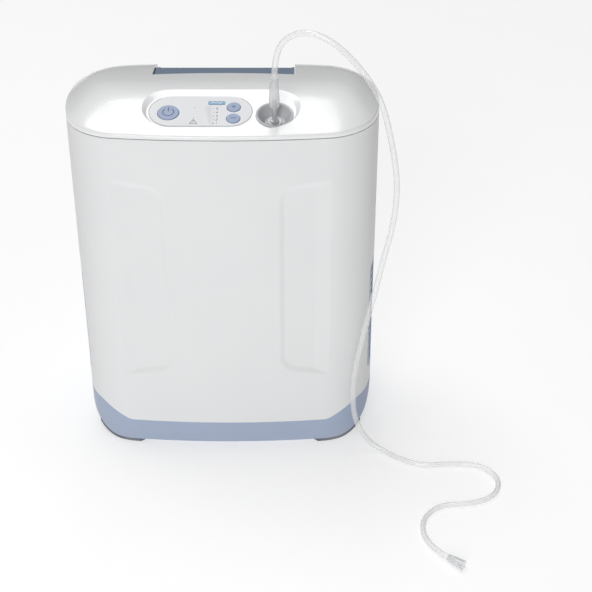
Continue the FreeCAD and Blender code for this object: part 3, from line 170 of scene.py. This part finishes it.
def blend_colours(tree, share, first, second, how="MIX"):
    """Mixes two colours by a share from 0 to 1 and gives the mixed colour's socket."""
    node = tree.nodes.new("ShaderNodeMix")
    node.data_type = "RGBA"
    node.blend_type = how
    for place, value in ((0, share), (6, first), (7, second)):
        if isinstance(value, bpy.types.NodeSocket):
            tree.links.new(value, node.inputs[place])
        else:
            node.inputs[place].default_value = value
    return node.outputs[2]


def remap(tree, value, low, high, to_low, to_high):
    """Takes a value from one range to another in a straight line and holds it there."""
    node = add(tree, "ShaderNodeMapRange", {0: value, 1: low, 2: high, 3: to_low, 4: to_high})
    return node.outputs[0]


print("helpers ready")

# %% Effect: moulded skin
skin_group, skin_in, skin_out = effect(
    "moulded_skin",
    {"Colour": (0.8, 0.8, 0.8, 1), "Shade": (0.7, 0.7, 0.72, 1), "Drift": 0.3,
     "Drift Scale": 9.0, "Roughness": 0.35, "Rough Change": 0.08, "Grain Scale": 1500.0,
     "Scuffs": 0.15},
    {"Colour": "colour", "Roughness": "value", "Height": "value"},
)
place = add(skin_group, "ShaderNodeTexCoord").outputs["Object"]
drift = add(skin_group, "ShaderNodeTexNoise", {"Vector": place, "Scale": skin_in.outputs["Drift Scale"],
            "Detail": 2.0, "Roughness": 0.5})
drift_share = remap(skin_group, drift.outputs["Fac"], 0.35, 0.7, 0.0, 1.0)
drift_amount = add(skin_group, "ShaderNodeMath", {0: drift_share, 1: skin_in.outputs["Drift"]},
                   operation="MULTIPLY")
tinted = blend_colours(skin_group, drift_amount.outputs[0], skin_in.outputs["Colour"],
                       skin_in.outputs["Shade"])
grain = add(skin_group, "ShaderNodeTexNoise", {"Vector": place, "Scale": skin_in.outputs["Grain Scale"],
            "Detail": 1.0, "Roughness": 0.6})
stretch = add(skin_group, "ShaderNodeMapping", {"Vector": place, "Rotation": (0.3, 0.5, 0.9),
              "Scale": (1.0, 14.0, 3.0)})
scratch = add(skin_group, "ShaderNodeTexNoise", {"Vector": stretch.outputs[0], "Scale": 60.0, "Detail": 3.0})
scuff = remap(skin_group, scratch.outputs["Fac"], 0.6, 0.75, 0.0, 1.0)
scuffed = add(skin_group, "ShaderNodeMath", {0: scuff, 1: skin_in.outputs["Scuffs"]}, operation="MULTIPLY")
rough_drift = add(skin_group, "ShaderNodeMath", {0: drift_share, 1: skin_in.outputs["Rough Change"],
                  2: skin_in.outputs["Roughness"]}, operation="MULTIPLY_ADD")
rough = add(skin_group, "ShaderNodeMath", {0: rough_drift.outputs[0], 1: scuffed.outputs[0]},
            operation="ADD", use_clamp=True)
for label, wire in (("Colour", tinted), ("Roughness", rough.outputs[0]), ("Height", grain.outputs["Fac"])):
    skin_group.links.new(wire, skin_out.inputs[label])
print("moulded skin", len(skin_group.nodes), "nodes")

# %% [markdown]
# Dust gathers low down. The mask is strongest at the floor and fades out at a set height, and a
# noise breaks its edge, so that the base and feet don't look freshly washed. The same group
# serves any part that stands low. It only needs another height.

# %% Effect: low dust
dust_group, dust_in, dust_out = effect(
    "low_dust",
    {"Colour": (0.3, 0.35, 0.45, 1), "Dust": (0.55, 0.53, 0.5, 1), "Top": 0.05, "Amount": 0.4},
    {"Colour": "colour", "Mask": "value"},
)
place = add(dust_group, "ShaderNodeTexCoord").outputs["Object"]
tall = add(dust_group, "ShaderNodeSeparateXYZ", {0: place}).outputs["Z"]
depth = add(dust_group, "ShaderNodeMapRange", {0: tall, 1: 0.0, 2: dust_in.outputs["Top"], 3: 1.0, 4: 0.0})
cloud = add(dust_group, "ShaderNodeTexNoise", {"Vector": place, "Scale": 45.0, "Detail": 5.0})
patchy = remap(dust_group, cloud.outputs["Fac"], 0.35, 0.7, 0.2, 1.0)
mask = add(dust_group, "ShaderNodeMath", {0: depth.outputs[0], 1: patchy}, operation="MULTIPLY")
mask = add(dust_group, "ShaderNodeMath", {0: mask.outputs[0], 1: dust_in.outputs["Amount"]},
           operation="MULTIPLY")
dusted = blend_colours(dust_group, mask.outputs[0], dust_in.outputs["Colour"], dust_in.outputs["Dust"])
dust_group.links.new(dusted, dust_out.inputs["Colour"])
dust_group.links.new(mask.outputs[0], dust_out.inputs["Mask"])
print("low dust", len(dust_group.nodes), "nodes")

# %% [markdown]
# Metal parts inside show how they were made: sheet and turned parts carry fine lines along one
# direction. A noise squeezed along two axes gives such lines. Cast parts use the same group with
# an even squeeze, which turns the lines into a pebbled skin.

# %% Effect: worked metal
metal_group, metal_in, metal_out = effect(
    "worked_metal",
    {"Colour": (0.6, 0.6, 0.6, 1), "Shade": (0.4, 0.4, 0.42, 1), "Lines": 30.0, "Scale": 90.0,
     "Roughness": 0.35, "Rough Change": 0.2},
    {"Colour": "colour", "Roughness": "value", "Height": "value"},
)
place = add(metal_group, "ShaderNodeTexCoord").outputs["Object"]
squeeze = add(metal_group, "ShaderNodeCombineXYZ", {0: 1.0, 1: metal_in.outputs["Lines"],
              2: metal_in.outputs["Lines"]})
lined = add(metal_group, "ShaderNodeVectorMath", {0: place, 1: squeeze.outputs[0]}, operation="MULTIPLY")
lines = add(metal_group, "ShaderNodeTexNoise", {"Vector": lined.outputs[0], "Scale": metal_in.outputs["Scale"],
            "Detail": 3.0})
stain = add(metal_group, "ShaderNodeTexNoise", {"Vector": place, "Scale": 22.0, "Detail": 4.0})
share = remap(metal_group, stain.outputs["Fac"], 0.3, 0.75, 0.0, 1.0)
shaded = blend_colours(metal_group, share, metal_in.outputs["Colour"], metal_in.outputs["Shade"])
rough = add(metal_group, "ShaderNodeMath", {0: lines.outputs["Fac"], 1: metal_in.outputs["Rough Change"],
            2: metal_in.outputs["Roughness"]}, operation="MULTIPLY_ADD")
for label, wire in (("Colour", shaded), ("Roughness", rough.outputs[0]), ("Height", lines.outputs["Fac"])):
    metal_group.links.new(wire, metal_out.inputs[label])
print("worked metal", len(metal_group.nodes), "nodes")

# %% [markdown]
# One function now makes any moulded finish. It places the skin group, adds dust where a height is
# given, and joins both to a Principled shader. Values that are the same all over, such as coat or
# specular strength, are typed straight into the shader.

# %% Finishes of moulded parts
finishes = {}


def fresh(name, **fixed):
    """A new material, its tree and its shader, with the fixed values typed into the shader."""
    material = bpy.data.materials.new(name)
    material.use_nodes = True
    tree = material.node_tree
    shader = tree.nodes["Principled BSDF"]
    for label, value in fixed.items():
        shader.inputs[label.replace("_", " ")].default_value = value
    finishes[name] = material
    return material, tree, shader


def grow(tree, group, wires):
    """Places a node group in a material with its own values."""
    node = add(tree, "ShaderNodeGroup", node_tree=group)
    for label, value in wires.items():
        if isinstance(value, bpy.types.NodeSocket):
            tree.links.new(value, node.inputs[label])
        else:
            node.inputs[label].default_value = value
    return node


def rough_normal(tree, shader, height, strength, distance):
    """Turns a height into a bent normal for the shader."""
    bump = add(tree, "ShaderNodeBump", {"Height": height, "Strength": strength, "Distance": distance})
    tree.links.new(bump.outputs[0], shader.inputs["Normal"])


def moulded(name, colour, shade, roughness, grain=1500.0, bump=0.12, drift=0.5, scuffs=0.1,
            dust_top=None, dust=0.4, **fixed):
    """Moulded plastic or rubber: skin group, then dust up to dust_top metres, then the shader."""
    material, tree, shader = fresh(name, **fixed)
    surface = grow(tree, skin_group, {"Colour": (*colour, 1), "Shade": (*shade, 1), "Drift": drift,
                   "Roughness": roughness, "Grain Scale": grain, "Scuffs": scuffs})
    paint = surface.outputs["Colour"]
    if dust_top:
        paint = grow(tree, dust_group, {"Colour": paint, "Top": dust_top, "Amount": dust}).outputs["Colour"]
    tree.links.new(paint, shader.inputs["Base Color"])
    tree.links.new(surface.outputs["Roughness"], shader.inputs["Roughness"])
    rough_normal(tree, shader, surface.outputs["Height"], bump, 0.0002)
    return material


moulded("case_white", (0.80, 0.805, 0.81), (0.77, 0.775, 0.785), 0.42, grain=1300.0, bump=0.1, scuffs=0.05)
moulded("cap_white", (0.86, 0.865, 0.87), (0.83, 0.835, 0.845), 0.2, grain=600.0, bump=0.02, scuffs=0.06,
        Coat_Weight=0.35, Coat_Roughness=0.08)
moulded("seal_grey", (0.2, 0.205, 0.215), (0.13, 0.135, 0.145), 0.85, grain=2600.0, bump=0.6)
moulded("handle_blue", (0.2, 0.255, 0.345), (0.175, 0.23, 0.315), 0.36, grain=1100.0, bump=0.12, scuffs=0.14)
moulded("pocket_grey", (0.3, 0.325, 0.37), (0.25, 0.27, 0.31), 0.5, grain=1100.0, bump=0.2)
moulded("base_blue", (0.36, 0.43, 0.58), (0.335, 0.405, 0.55), 0.4, grain=1200.0, bump=0.12,
        dust_top=0.05, dust=0.22)
moulded("foot_rubber", (0.10, 0.125, 0.17), (0.08, 0.1, 0.14), 0.75, grain=1900.0, bump=0.5,
        dust_top=0.02, dust=0.35)
moulded("back_trim", (0.35, 0.425, 0.57), (0.325, 0.395, 0.54), 0.42, grain=1200.0, bump=0.14)
moulded("well_grey", (0.52, 0.53, 0.545), (0.47, 0.48, 0.5), 0.26, grain=900.0, bump=0.05, Coat_Weight=0.2)
moulded("overlay_film", (0.74, 0.75, 0.77), (0.71, 0.72, 0.745), 0.34, grain=2200.0, bump=0.1, scuffs=0.12)
moulded("key_lilac", (0.34, 0.405, 0.575), (0.32, 0.385, 0.55), 0.45, grain=1700.0, bump=0.14, scuffs=0.2)
moulded("badge_blue", (0.004, 0.17, 0.34), (0.006, 0.2, 0.38), 0.25, grain=1500.0, bump=0.05, Coat_Weight=0.5)
moulded("inner_plastic", (0.16, 0.165, 0.18), (0.12, 0.125, 0.14), 0.5, grain=900.0, bump=0.3)
moulded("socket_black", (0.022, 0.022, 0.025), (0.03, 0.03, 0.034), 0.45, grain=1500.0, bump=0.25)
moulded("isolator_rubber", (0.03, 0.03, 0.032), (0.045, 0.045, 0.047), 0.8, grain=1600.0, bump=0.6)
moulded("tank_plastic", (0.62, 0.62, 0.6), (0.55, 0.55, 0.53), 0.4, grain=1000.0, bump=0.2)
moulded("fan_black", (0.03, 0.03, 0.034), (0.04, 0.04, 0.045), 0.4, grain=1300.0, bump=0.25)
moulded("label_silver", (0.66, 0.675, 0.69), (0.6, 0.615, 0.635), 0.32, grain=2400.0, bump=0.1, scuffs=0.2)
print("moulded finishes", len(finishes))

# %% [markdown]
# Metal parts need a metallic shader, so their colour tints the reflection. Most of them are
# hidden inside the case, and show through the grille or when the cap is lifted away.

# %% Finishes of metal parts and boards


def worked(name, colour, shade, roughness, lines, scale, bump):
    """Metal: the worked metal group in a fully metallic shader."""
    material, tree, shader = fresh(name, Metallic=1.0)
    surface = grow(tree, metal_group, {"Colour": (*colour, 1), "Shade": (*shade, 1),
                   "Roughness": roughness, "Lines": lines, "Scale": scale})
    tree.links.new(surface.outputs["Colour"], shader.inputs["Base Color"])
    tree.links.new(surface.outputs["Roughness"], shader.inputs["Roughness"])
    rough_normal(tree, shader, surface.outputs["Height"], bump, 0.0003)


worked("pin_brass", (0.75, 0.63, 0.36), (0.6, 0.48, 0.25), 0.2, 8.0, 200.0, 0.1)
worked("screw_steel", (0.56, 0.56, 0.57), (0.42, 0.42, 0.44), 0.22, 20.0, 200.0, 0.15)
worked("sheet_steel", (0.55, 0.56, 0.57), (0.45, 0.46, 0.48), 0.3, 30.0, 60.0, 0.12)
worked("cast_alloy", (0.6, 0.61, 0.62), (0.45, 0.46, 0.47), 0.4, 1.0, 900.0, 0.5)
worked("piston_alloy", (0.7, 0.7, 0.71), (0.6, 0.6, 0.61), 0.15, 25.0, 120.0, 0.1)
worked("bed_alloy", (0.66, 0.67, 0.68), (0.55, 0.56, 0.58), 0.25, 18.0, 50.0, 0.1)
worked("valve_steel", (0.5, 0.51, 0.53), (0.4, 0.41, 0.43), 0.3, 20.0, 90.0, 0.15)

board, tree, shader = fresh("board_green", Coat_Weight=0.4)
place = add(tree, "ShaderNodeTexCoord").outputs["Object"]
tracks = add(tree, "ShaderNodeTexBrick", {"Vector": place, "Scale": 240.0, "Mortar Size": 0.03,
             "Color1": (0.01, 0.13, 0.05, 1), "Color2": (0.012, 0.16, 0.06, 1),
             "Mortar": (0.03, 0.24, 0.09, 1)})
haze = add(tree, "ShaderNodeTexNoise", {"Vector": place, "Scale": 150.0})
tree.links.new(tracks.outputs["Color"], shader.inputs["Base Color"])
tree.links.new(remap(tree, haze.outputs["Fac"], 0.3, 0.7, 0.25, 0.45), shader.inputs["Roughness"])
rough_normal(tree, shader, tracks.outputs["Fac"], 0.3, 0.0002)
print("finishes", len(finishes))

# %% [markdown]
# Clear vinyl looks almost invisible face on and greyer along its edges, where the eye looks
# through more of the wall. Layer Weight knows that angle, so it drives the alpha and the colour:
# faint in the middle, denser and a little darker at the rim. Real refraction would need two walls
# and many samples for a tube this thin, so this simpler way was chosen.

# %% Finishes of clear parts


def clear(name, colour, face_on, edge_on, power):
    """Clear vinyl: alpha rises from face_on to edge_on with the viewing angle, sharper for a higher power."""
    material, tree, shader = fresh(name, Coat_Weight=0.8, Coat_Roughness=0.04, Specular_IOR_Level=0.7)
    place = add(tree, "ShaderNodeTexCoord").outputs["Object"]
    haze = add(tree, "ShaderNodeTexNoise", {"Vector": place, "Scale": 40.0, "Detail": 1.0})
    angle = add(tree, "ShaderNodeLayerWeight", {"Blend": 0.5}).outputs["Facing"]
    rim = add(tree, "ShaderNodeMath", {0: angle, 1: power}, operation="POWER").outputs[0]
    middle = blend_colours(tree, haze.outputs["Fac"], (*colour, 1), tuple(0.94 * c for c in colour) + (1,))
    paint = blend_colours(tree, rim, middle, tuple(0.78 * c for c in colour) + (1,))
    tree.links.new(paint, shader.inputs["Base Color"])
    tree.links.new(remap(tree, haze.outputs["Fac"], 0.3, 0.7, 0.1, 0.16), shader.inputs["Roughness"])
    tree.links.new(remap(tree, rim, 0.0, 1.0, face_on, edge_on), shader.inputs["Alpha"])


clear("tube_clear", (0.93, 0.935, 0.94), 0.3, 0.72, 1.5)
clear("cuff_clear", (0.84, 0.855, 0.87), 0.3, 0.85, 1.4)
clear("lens_clear", (0.3, 0.32, 0.33), 0.75, 0.95, 1.0)
tube.data.materials.append(finishes["tube_clear"])

foam, tree, shader = fresh("foam_dark", Specular_IOR_Level=0.2)
place = add(tree, "ShaderNodeTexCoord").outputs["Object"]
cells = add(tree, "ShaderNodeTexVoronoi", {"Vector": place, "Scale": 900.0})
paint = blend_colours(tree, remap(tree, cells.outputs["Distance"], 0.0, 0.6, 0.0, 1.0),
                      (0.02, 0.02, 0.022, 1), (0.09, 0.09, 0.095, 1))
tree.links.new(paint, shader.inputs["Base Color"])
tree.links.new(remap(tree, cells.outputs["Distance"], 0.0, 0.6, 0.8, 1.0), shader.inputs["Roughness"])
rough_normal(tree, shader, cells.outputs["Distance"], 0.9, 0.0008)
print("clear and foam finishes", len(finishes))

# %% [markdown]
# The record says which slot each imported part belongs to, in the name of its material. Every slot
# has a finish of the same name, so one loop dresses all the parts.

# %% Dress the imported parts
dressed = 0
for name, node in nodes.items():
    for place in node.material_slots:
        slot_name = place.material.name.split(".")[0]
        place.material = finishes[slot_name]
        dressed += 1
print("dressed", dressed, "of", len(nodes))

# %% [markdown]
# The film and the keys carry print: a power symbol, plus and minus signs, a scale of numbered
# lights, a caution triangle and a thin border. Ink is a real layer, so each symbol is a flat bar
# of ink that follows a line: the bar's section is a small rectangle, carried along the line and
# mitred at its corners. The first helper joins any rows of points into a closed skin.

# %% Helper: skins from rows of points


def skin(rows, loop):
    """Joins rings of points, shape (rows, around, 3), with quads: point j of a row to j + 1 and to
    point j of the next row. A loop closes on itself; an open run gets a face over each end."""
    count, around, _ = rows.shape
    index = np.arange(count * around).reshape(count, around)
    here = index if loop else index[:-1]
    ahead = np.roll(index, -1, axis=0) if loop else index[1:]
    quads = np.stack([here, np.roll(here, -1, 1), np.roll(ahead, -1, 1), ahead], axis=-1).reshape(-1, 4)
    caps = [] if loop else [index[0][::-1].tolist(), index[-1].tolist()]
    return rows.reshape(-1, 3), quads.tolist() + caps


def gather(parts):
    """Puts several skins in one mesh: each one's faces count on from the points before it."""
    points, faces, used = [], [], 0
    for part_points, part_faces in parts:
        points.append(part_points)
        faces += [[used + corner for corner in face] for face in part_faces]
        used += len(part_points)
    return np.concatenate(points), faces


def on_panel(points):
    """Takes places in the panel's frame, in millimetres, to the world: turned by the slope, then
    moved to the panel's origin."""
    turn = np.array(PANEL.to_3x3())
    return np.asarray(points, float) * MM @ turn.T + np.array(PANEL.translation)


def make(name, points, faces, finish, body, slot_name, smooth=False):
    """A finished piece: the mesh in place, its finish and the body it moves with. slot_name is not used."""
    mesh = bpy.data.meshes.new(name)
    mesh.from_pydata(points.tolist(), [], faces)
    mesh.polygons.foreach_set("use_smooth", np.full(len(mesh.polygons), smooth))
    mesh.materials.append(finishes[finish])
    mesh.update()
    piece = bpy.data.objects.new(name, mesh)
    bpy.context.scene.collection.objects.link(piece)
    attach(piece, body)
    print(name, len(faces), "faces")
    return piece


# %% Helper: a bar of ink along a line
INK_UNDER = 0.03
INK_OVER = 0.07


def ink(line, width, face, loop=False):
    """A bar of ink on the panel. The line's points move half a width to each side along the mitre
    of their two neighbours, p +- n * width / (2 cos a), from just under the face to just over it."""
    line = np.asarray(line, float)
    step = np.roll(line, -1, 0) - line
    if not loop:
        step[-1] = step[-2]
    ahead = step / np.linalg.norm(step, axis=1, keepdims=True)
    behind = np.roll(ahead, 1, 0)
    if not loop:
        behind[0] = ahead[0]
    left = np.column_stack([-ahead[:, 1], ahead[:, 0]])
    mitre = left + np.column_stack([-behind[:, 1], behind[:, 0]])
    mitre /= np.linalg.norm(mitre, axis=1, keepdims=True)
    reach = width / 2 / np.maximum(0.5, (mitre * left).sum(1, keepdims=True))
    low, high = face - INK_UNDER, face + INK_OVER
    corners = [(line - mitre * reach, low), (line + mitre * reach, low),
               (line + mitre * reach, high), (line - mitre * reach, high)]
    rows = np.stack([np.column_stack([flat, np.full(len(line), z)]) for flat, z in corners], axis=1)
    points, faces = skin(rows, loop)
    return on_panel(points), faces


def arc(centre, radius, start, end, count):
    """Points on a circle from one angle to another, in degrees: centre + radius (cos, sin)."""
    turn = np.radians(np.linspace(start, end, count))
    return np.column_stack([centre[0] + radius * np.cos(turn), centre[1] + radius * np.sin(turn)])


print("ink helpers ready")

# %% Inks
moulded("ink_slate", (0.06, 0.085, 0.15), (0.09, 0.12, 0.19), 0.5, grain=2500.0, bump=0.1)
moulded("ink_grey", (0.22, 0.23, 0.25), (0.3, 0.31, 0.33), 0.5, grain=2500.0, bump=0.1)
moulded("ink_pale", (0.5, 0.51, 0.53), (0.6, 0.61, 0.63), 0.5, grain=2500.0, bump=0.1)
moulded("ink_white", (0.82, 0.84, 0.86), (0.75, 0.78, 0.82), 0.4, grain=2500.0, bump=0.1)

# %% Symbols on the keys
KEY_FACE = -1.5
POWER = (-53.5, -7.4)
PLUS = (13.2, 1.2)
MINUS = (13.1, -16.4)
POWER_RING = 5.6
STROKE = 0.95
FINE_STROKE = 0.7

ring = ink(arc(POWER, POWER_RING, 125, 415, 57), STROKE, KEY_FACE)
bar = ink([(POWER[0], POWER[1] + 1.2), (POWER[0], POWER[1] + 7.2)], STROKE, KEY_FACE)
make("power_symbol", *gather([ring, bar]), "ink_slate", "power_key", "key_lilac")

PLUS_ARM = 2.4
MINUS_ARM = 3.0
across = ink([(PLUS[0] - PLUS_ARM, PLUS[1]), (PLUS[0] - FINE_STROKE / 2, PLUS[1])], FINE_STROKE, KEY_FACE)
rest = ink([(PLUS[0] + FINE_STROKE / 2, PLUS[1]), (PLUS[0] + PLUS_ARM, PLUS[1])], FINE_STROKE, KEY_FACE)
upright = ink([(PLUS[0], PLUS[1] - PLUS_ARM), (PLUS[0], PLUS[1] + PLUS_ARM)], FINE_STROKE, KEY_FACE)
make("plus_symbol", *gather([across, rest, upright]), "ink_slate", "plus_key", "key_lilac")
minus = ink([(MINUS[0] - MINUS_ARM, MINUS[1]), (MINUS[0] + MINUS_ARM, MINUS[1])], FINE_STROKE, KEY_FACE)
make("minus_symbol", *minus, "ink_slate", "minus_key", "key_lilac")

# %% [markdown]
# The flow scale counts down from 5 to 1 beside its lights. Each numeral is a line through a few
# points in a box one unit wide and 1.6 tall, scaled to the size of the print. Left of the lights
# a wedge of short bars narrows downwards, and shows the setting to someone who can't read it.

# %% Print on the film
FILM_FACE = -2.6
NUMERAL_LINES = {
    "1": [(0.2, 1.3), (0.55, 1.6), (0.55, 0.0)],
    "2": [(0.0, 1.3), (0.3, 1.6), (0.75, 1.6), (1.0, 1.3), (0.95, 1.0), (0.0, 0.0), (1.0, 0.0)],
    "3": [(0.0, 1.4), (0.35, 1.6), (0.8, 1.5), (0.9, 1.1), (0.45, 0.85), (0.95, 0.65), (0.95, 0.2),
          (0.5, 0.0), (0.0, 0.2)],
    "4": [(0.75, 0.0), (0.75, 1.6), (0.0, 0.45), (1.0, 0.45)],
    "5": [(0.95, 1.6), (0.1, 1.6), (0.05, 0.9), (0.6, 1.0), (1.0, 0.7), (0.95, 0.25), (0.5, 0.0),
          (0.0, 0.15)],
}
NUMERAL_WIDTH = 1.7
NUMERAL_X = -4.6
FLOW_TOP = -0.9
FLOW_PITCH = -5.65
NUMERAL_STROKE = 0.42

numerals = []
for row, numeral in enumerate("54321"):
    corner = np.array([NUMERAL_X, FLOW_TOP + FLOW_PITCH * row - 0.8 * NUMERAL_WIDTH])
    line = corner + NUMERAL_WIDTH * np.array(NUMERAL_LINES[numeral])
    numerals.append(ink(line, NUMERAL_STROKE, FILM_FACE))
make("flow_numerals", *gather(numerals), "ink_slate", "case", "overlay_film")

WEDGE_TOP = 2.4
WEDGE_BOTTOM = -26.0
WEDGE_WIDE = 5.8
WEDGE_NARROW = 0.8
WEDGE_RIGHT = -9.2
WEDGE_ROWS = 20
WEDGE_STROKE = 0.4
wedge = []
for height in np.linspace(WEDGE_TOP, WEDGE_BOTTOM, WEDGE_ROWS):
    share = (height - WEDGE_BOTTOM) / (WEDGE_TOP - WEDGE_BOTTOM)
    width = WEDGE_NARROW + (WEDGE_WIDE - WEDGE_NARROW) * share
    wedge.append(ink([(WEDGE_RIGHT - width, height), (WEDGE_RIGHT, height)], WEDGE_STROKE, FILM_FACE))
edge = [(WEDGE_RIGHT - WEDGE_WIDE - 0.8, WEDGE_TOP), (WEDGE_RIGHT - WEDGE_NARROW - 0.8, WEDGE_BOTTOM)]
wedge.append(ink(edge, 0.3, FILM_FACE))
make("flow_wedge", *gather(wedge), "ink_pale", "case", "overlay_film")

# %% Caution triangle and border
TRIANGLE = (-27.3, -21.4)
TRIANGLE_SIDE = 7.6
half = TRIANGLE_SIDE / 2
tip = TRIANGLE_SIDE * 0.5
corners = [(TRIANGLE[0] - half, TRIANGLE[1] - tip * 0.72), (TRIANGLE[0] + half, TRIANGLE[1] - tip * 0.72),
           (TRIANGLE[0], TRIANGLE[1] + tip)]
caution = [ink(corners, 0.6, FILM_FACE, loop=True),
           ink([(TRIANGLE[0], TRIANGLE[1] - 0.6), (TRIANGLE[0], TRIANGLE[1] + 1.5)], 0.55, FILM_FACE),
           ink([(TRIANGLE[0], TRIANGLE[1] - 1.9), (TRIANGLE[0], TRIANGLE[1] - 1.4)], 0.55, FILM_FACE)]
make("caution_triangle", *gather(caution), "ink_slate", "case", "overlay_film")

# The border follows the film's two round ends and its front edge, and stays open at the rear.
BORDER_INSET = 0.55
BORDER_STROKE = 0.5
BORDER_OPENING = 28
FILM_LEFT, FILM_RIGHT, FILM_FRONT, FILM_REAR = -74.0, 32.8, -28.3, 18.6
film_half = (FILM_REAR - FILM_FRONT) / 2
middle = FILM_FRONT + film_half
radius = film_half - BORDER_INSET
right_end = arc((FILM_RIGHT - film_half, middle), radius, 90 - BORDER_OPENING, -90, 41)
left_end = arc((FILM_LEFT + film_half, middle), radius, 270, 90 + BORDER_OPENING, 41)
make("film_border", *ink(np.concatenate([right_end, left_end]), BORDER_STROKE, FILM_FACE),
     "ink_grey", "case", "overlay_film")

# %% [markdown]
# The blue badge shows a plain white wave, a sign for moving air, in the place of lettering. Its
# line is a sine, and the ink helper gives it its width.

# %% Wave on the badge
BADGE_FACE = -2.1
BADGE_MIDDLE = (-4.5, 7.9)
WAVE_LENGTH = 12.0
WAVE_HEIGHT = 1.0
WAVES = 2.5
WAVE_STROKE = 0.55
sweep = np.linspace(-0.5, 0.5, 61)
wave = np.column_stack([BADGE_MIDDLE[0] + WAVE_LENGTH * sweep,
                        BADGE_MIDDLE[1] + WAVE_HEIGHT * np.sin(2 * math.pi * WAVES * sweep)])
make("badge_wave", *ink(wave, WAVE_STROKE, BADGE_FACE), "ink_white", "case", "badge_blue")

# %% [markdown]
# The dust filter behind the rear door is a pad of open foam. Its faces swell a little and its
# edges pull in, which a superellipse gives: far from the middle the thickness falls off as a high
# power of the distance. It rides on the door, and takes the place of the plain block.

# %% Foam filter pad


def pad_surface(low, high, rows, around, squareness, crown):
    """A cushion in the box from low to high, whose flat faces look along y. Ring i has the size
    s = sin(u)^(1/3), its outline is a superellipse of the given squareness, and its height along y
    is cos(u)^(1/3), shrunk by crown * s^2 towards the rim. The poles are closed by small caps."""
    centre, half_size = (low + high) / 2, (high - low) / 2
    u = np.linspace(0.04, math.pi - 0.04, rows)[:, None]
    v = np.linspace(0, 2 * math.pi, around, endpoint=False)[None, :]
    size = np.sin(u) ** (1 / 3)
    rise = np.sign(np.cos(u)) * np.abs(np.cos(u)) ** (1 / 3) * (1 - crown * size ** 2)
    power = 2 / squareness
    x = size * np.sign(np.cos(v)) * np.abs(np.cos(v)) ** power
    z = size * np.sign(np.sin(v)) * np.abs(np.sin(v)) ** power
    y = -rise * np.ones_like(v)
    grid = np.stack([x, y, z], axis=-1)
    return centre + half_size * grid


PAD_SQUARENESS = 9.0
PAD_CROWN = 0.12
foam_low, foam_high = (np.array(corner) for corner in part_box("particle_filter"))
pad_rows = pad_surface(foam_low, foam_high, 41, 160, PAD_SQUARENESS, PAD_CROWN)
pad = make("filter_foam", *skin(pad_rows[:, ::-1], False), "foam_dark", "filter_door", "foam_dark", True)
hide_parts("particle_filter")

# %% [markdown]
# The studio is plain: a pale floor that glows a little, so that shadows on it stay light, a sky
# that looks white but gives little light, and two soft boxes. The large one hangs high above, a
# little to the left and behind, so that the cap is the brightest part and a pale shadow lies in
# front. The front one lifts the face of the case. The side walls see neither and stay darker,
# which shows how round the case is.

# %% Floor and light
FLOOR_REACH = 6.0
moulded("floor_paper", (0.5, 0.5, 0.5), (0.49, 0.49, 0.49), 0.9, grain=400.0, bump=0.01, scuffs=0.0,
        Specular_IOR_Level=0.0, Emission_Color=(1, 1, 1, 1), Emission_Strength=0.56)
corners = np.array([(-1, -1, 0), (1, -1, 0), (1, 1, 0), (-1, 1, 0)], float) * FLOOR_REACH
floor_mesh = bpy.data.meshes.new("floor")
floor_mesh.from_pydata(corners.tolist(), [], [[0, 1, 2, 3]])
floor_mesh.materials.append(finishes["floor_paper"])
floor = bpy.data.objects.new("floor", floor_mesh)
bpy.context.scene.collection.objects.link(floor)

SKY_GLOW = 0.08
SKY_SEEN = 0.9
world = bpy.data.worlds.new("studio")
world.use_nodes = True
sky = world.node_tree.nodes["Background"]
sky.inputs["Color"].default_value = (1, 1, 1, 1)
seen = add(world.node_tree, "ShaderNodeLightPath").outputs["Is Camera Ray"]
world.node_tree.links.new(remap(world.node_tree, seen, 0.0, 1.0, SKY_GLOW, SKY_SEEN), sky.inputs["Strength"])
bpy.context.scene.world = world


def soft_box(name, place, aim, size, power):
    """A square soft light at a place, turned to face its aim."""
    data = bpy.data.lights.new(name, "AREA")
    data.size = size
    data.energy = power
    lamp = bpy.data.objects.new(name, data)
    lamp.location = place
    lamp.rotation_euler = (Vector(aim) - Vector(place)).to_track_quat("-Z", "Y").to_euler()
    bpy.context.scene.collection.objects.link(lamp)


soft_box("top_box", (-0.6, 1.1, 4.5), (0, 0, 0.2), 3.0, 140)
soft_box("front_box", (-0.5, -3.2, 1.5), (0, 0, 0.25), 1.8, 60)
bpy.context.scene.view_settings.view_transform = "Standard"
print("lights set")
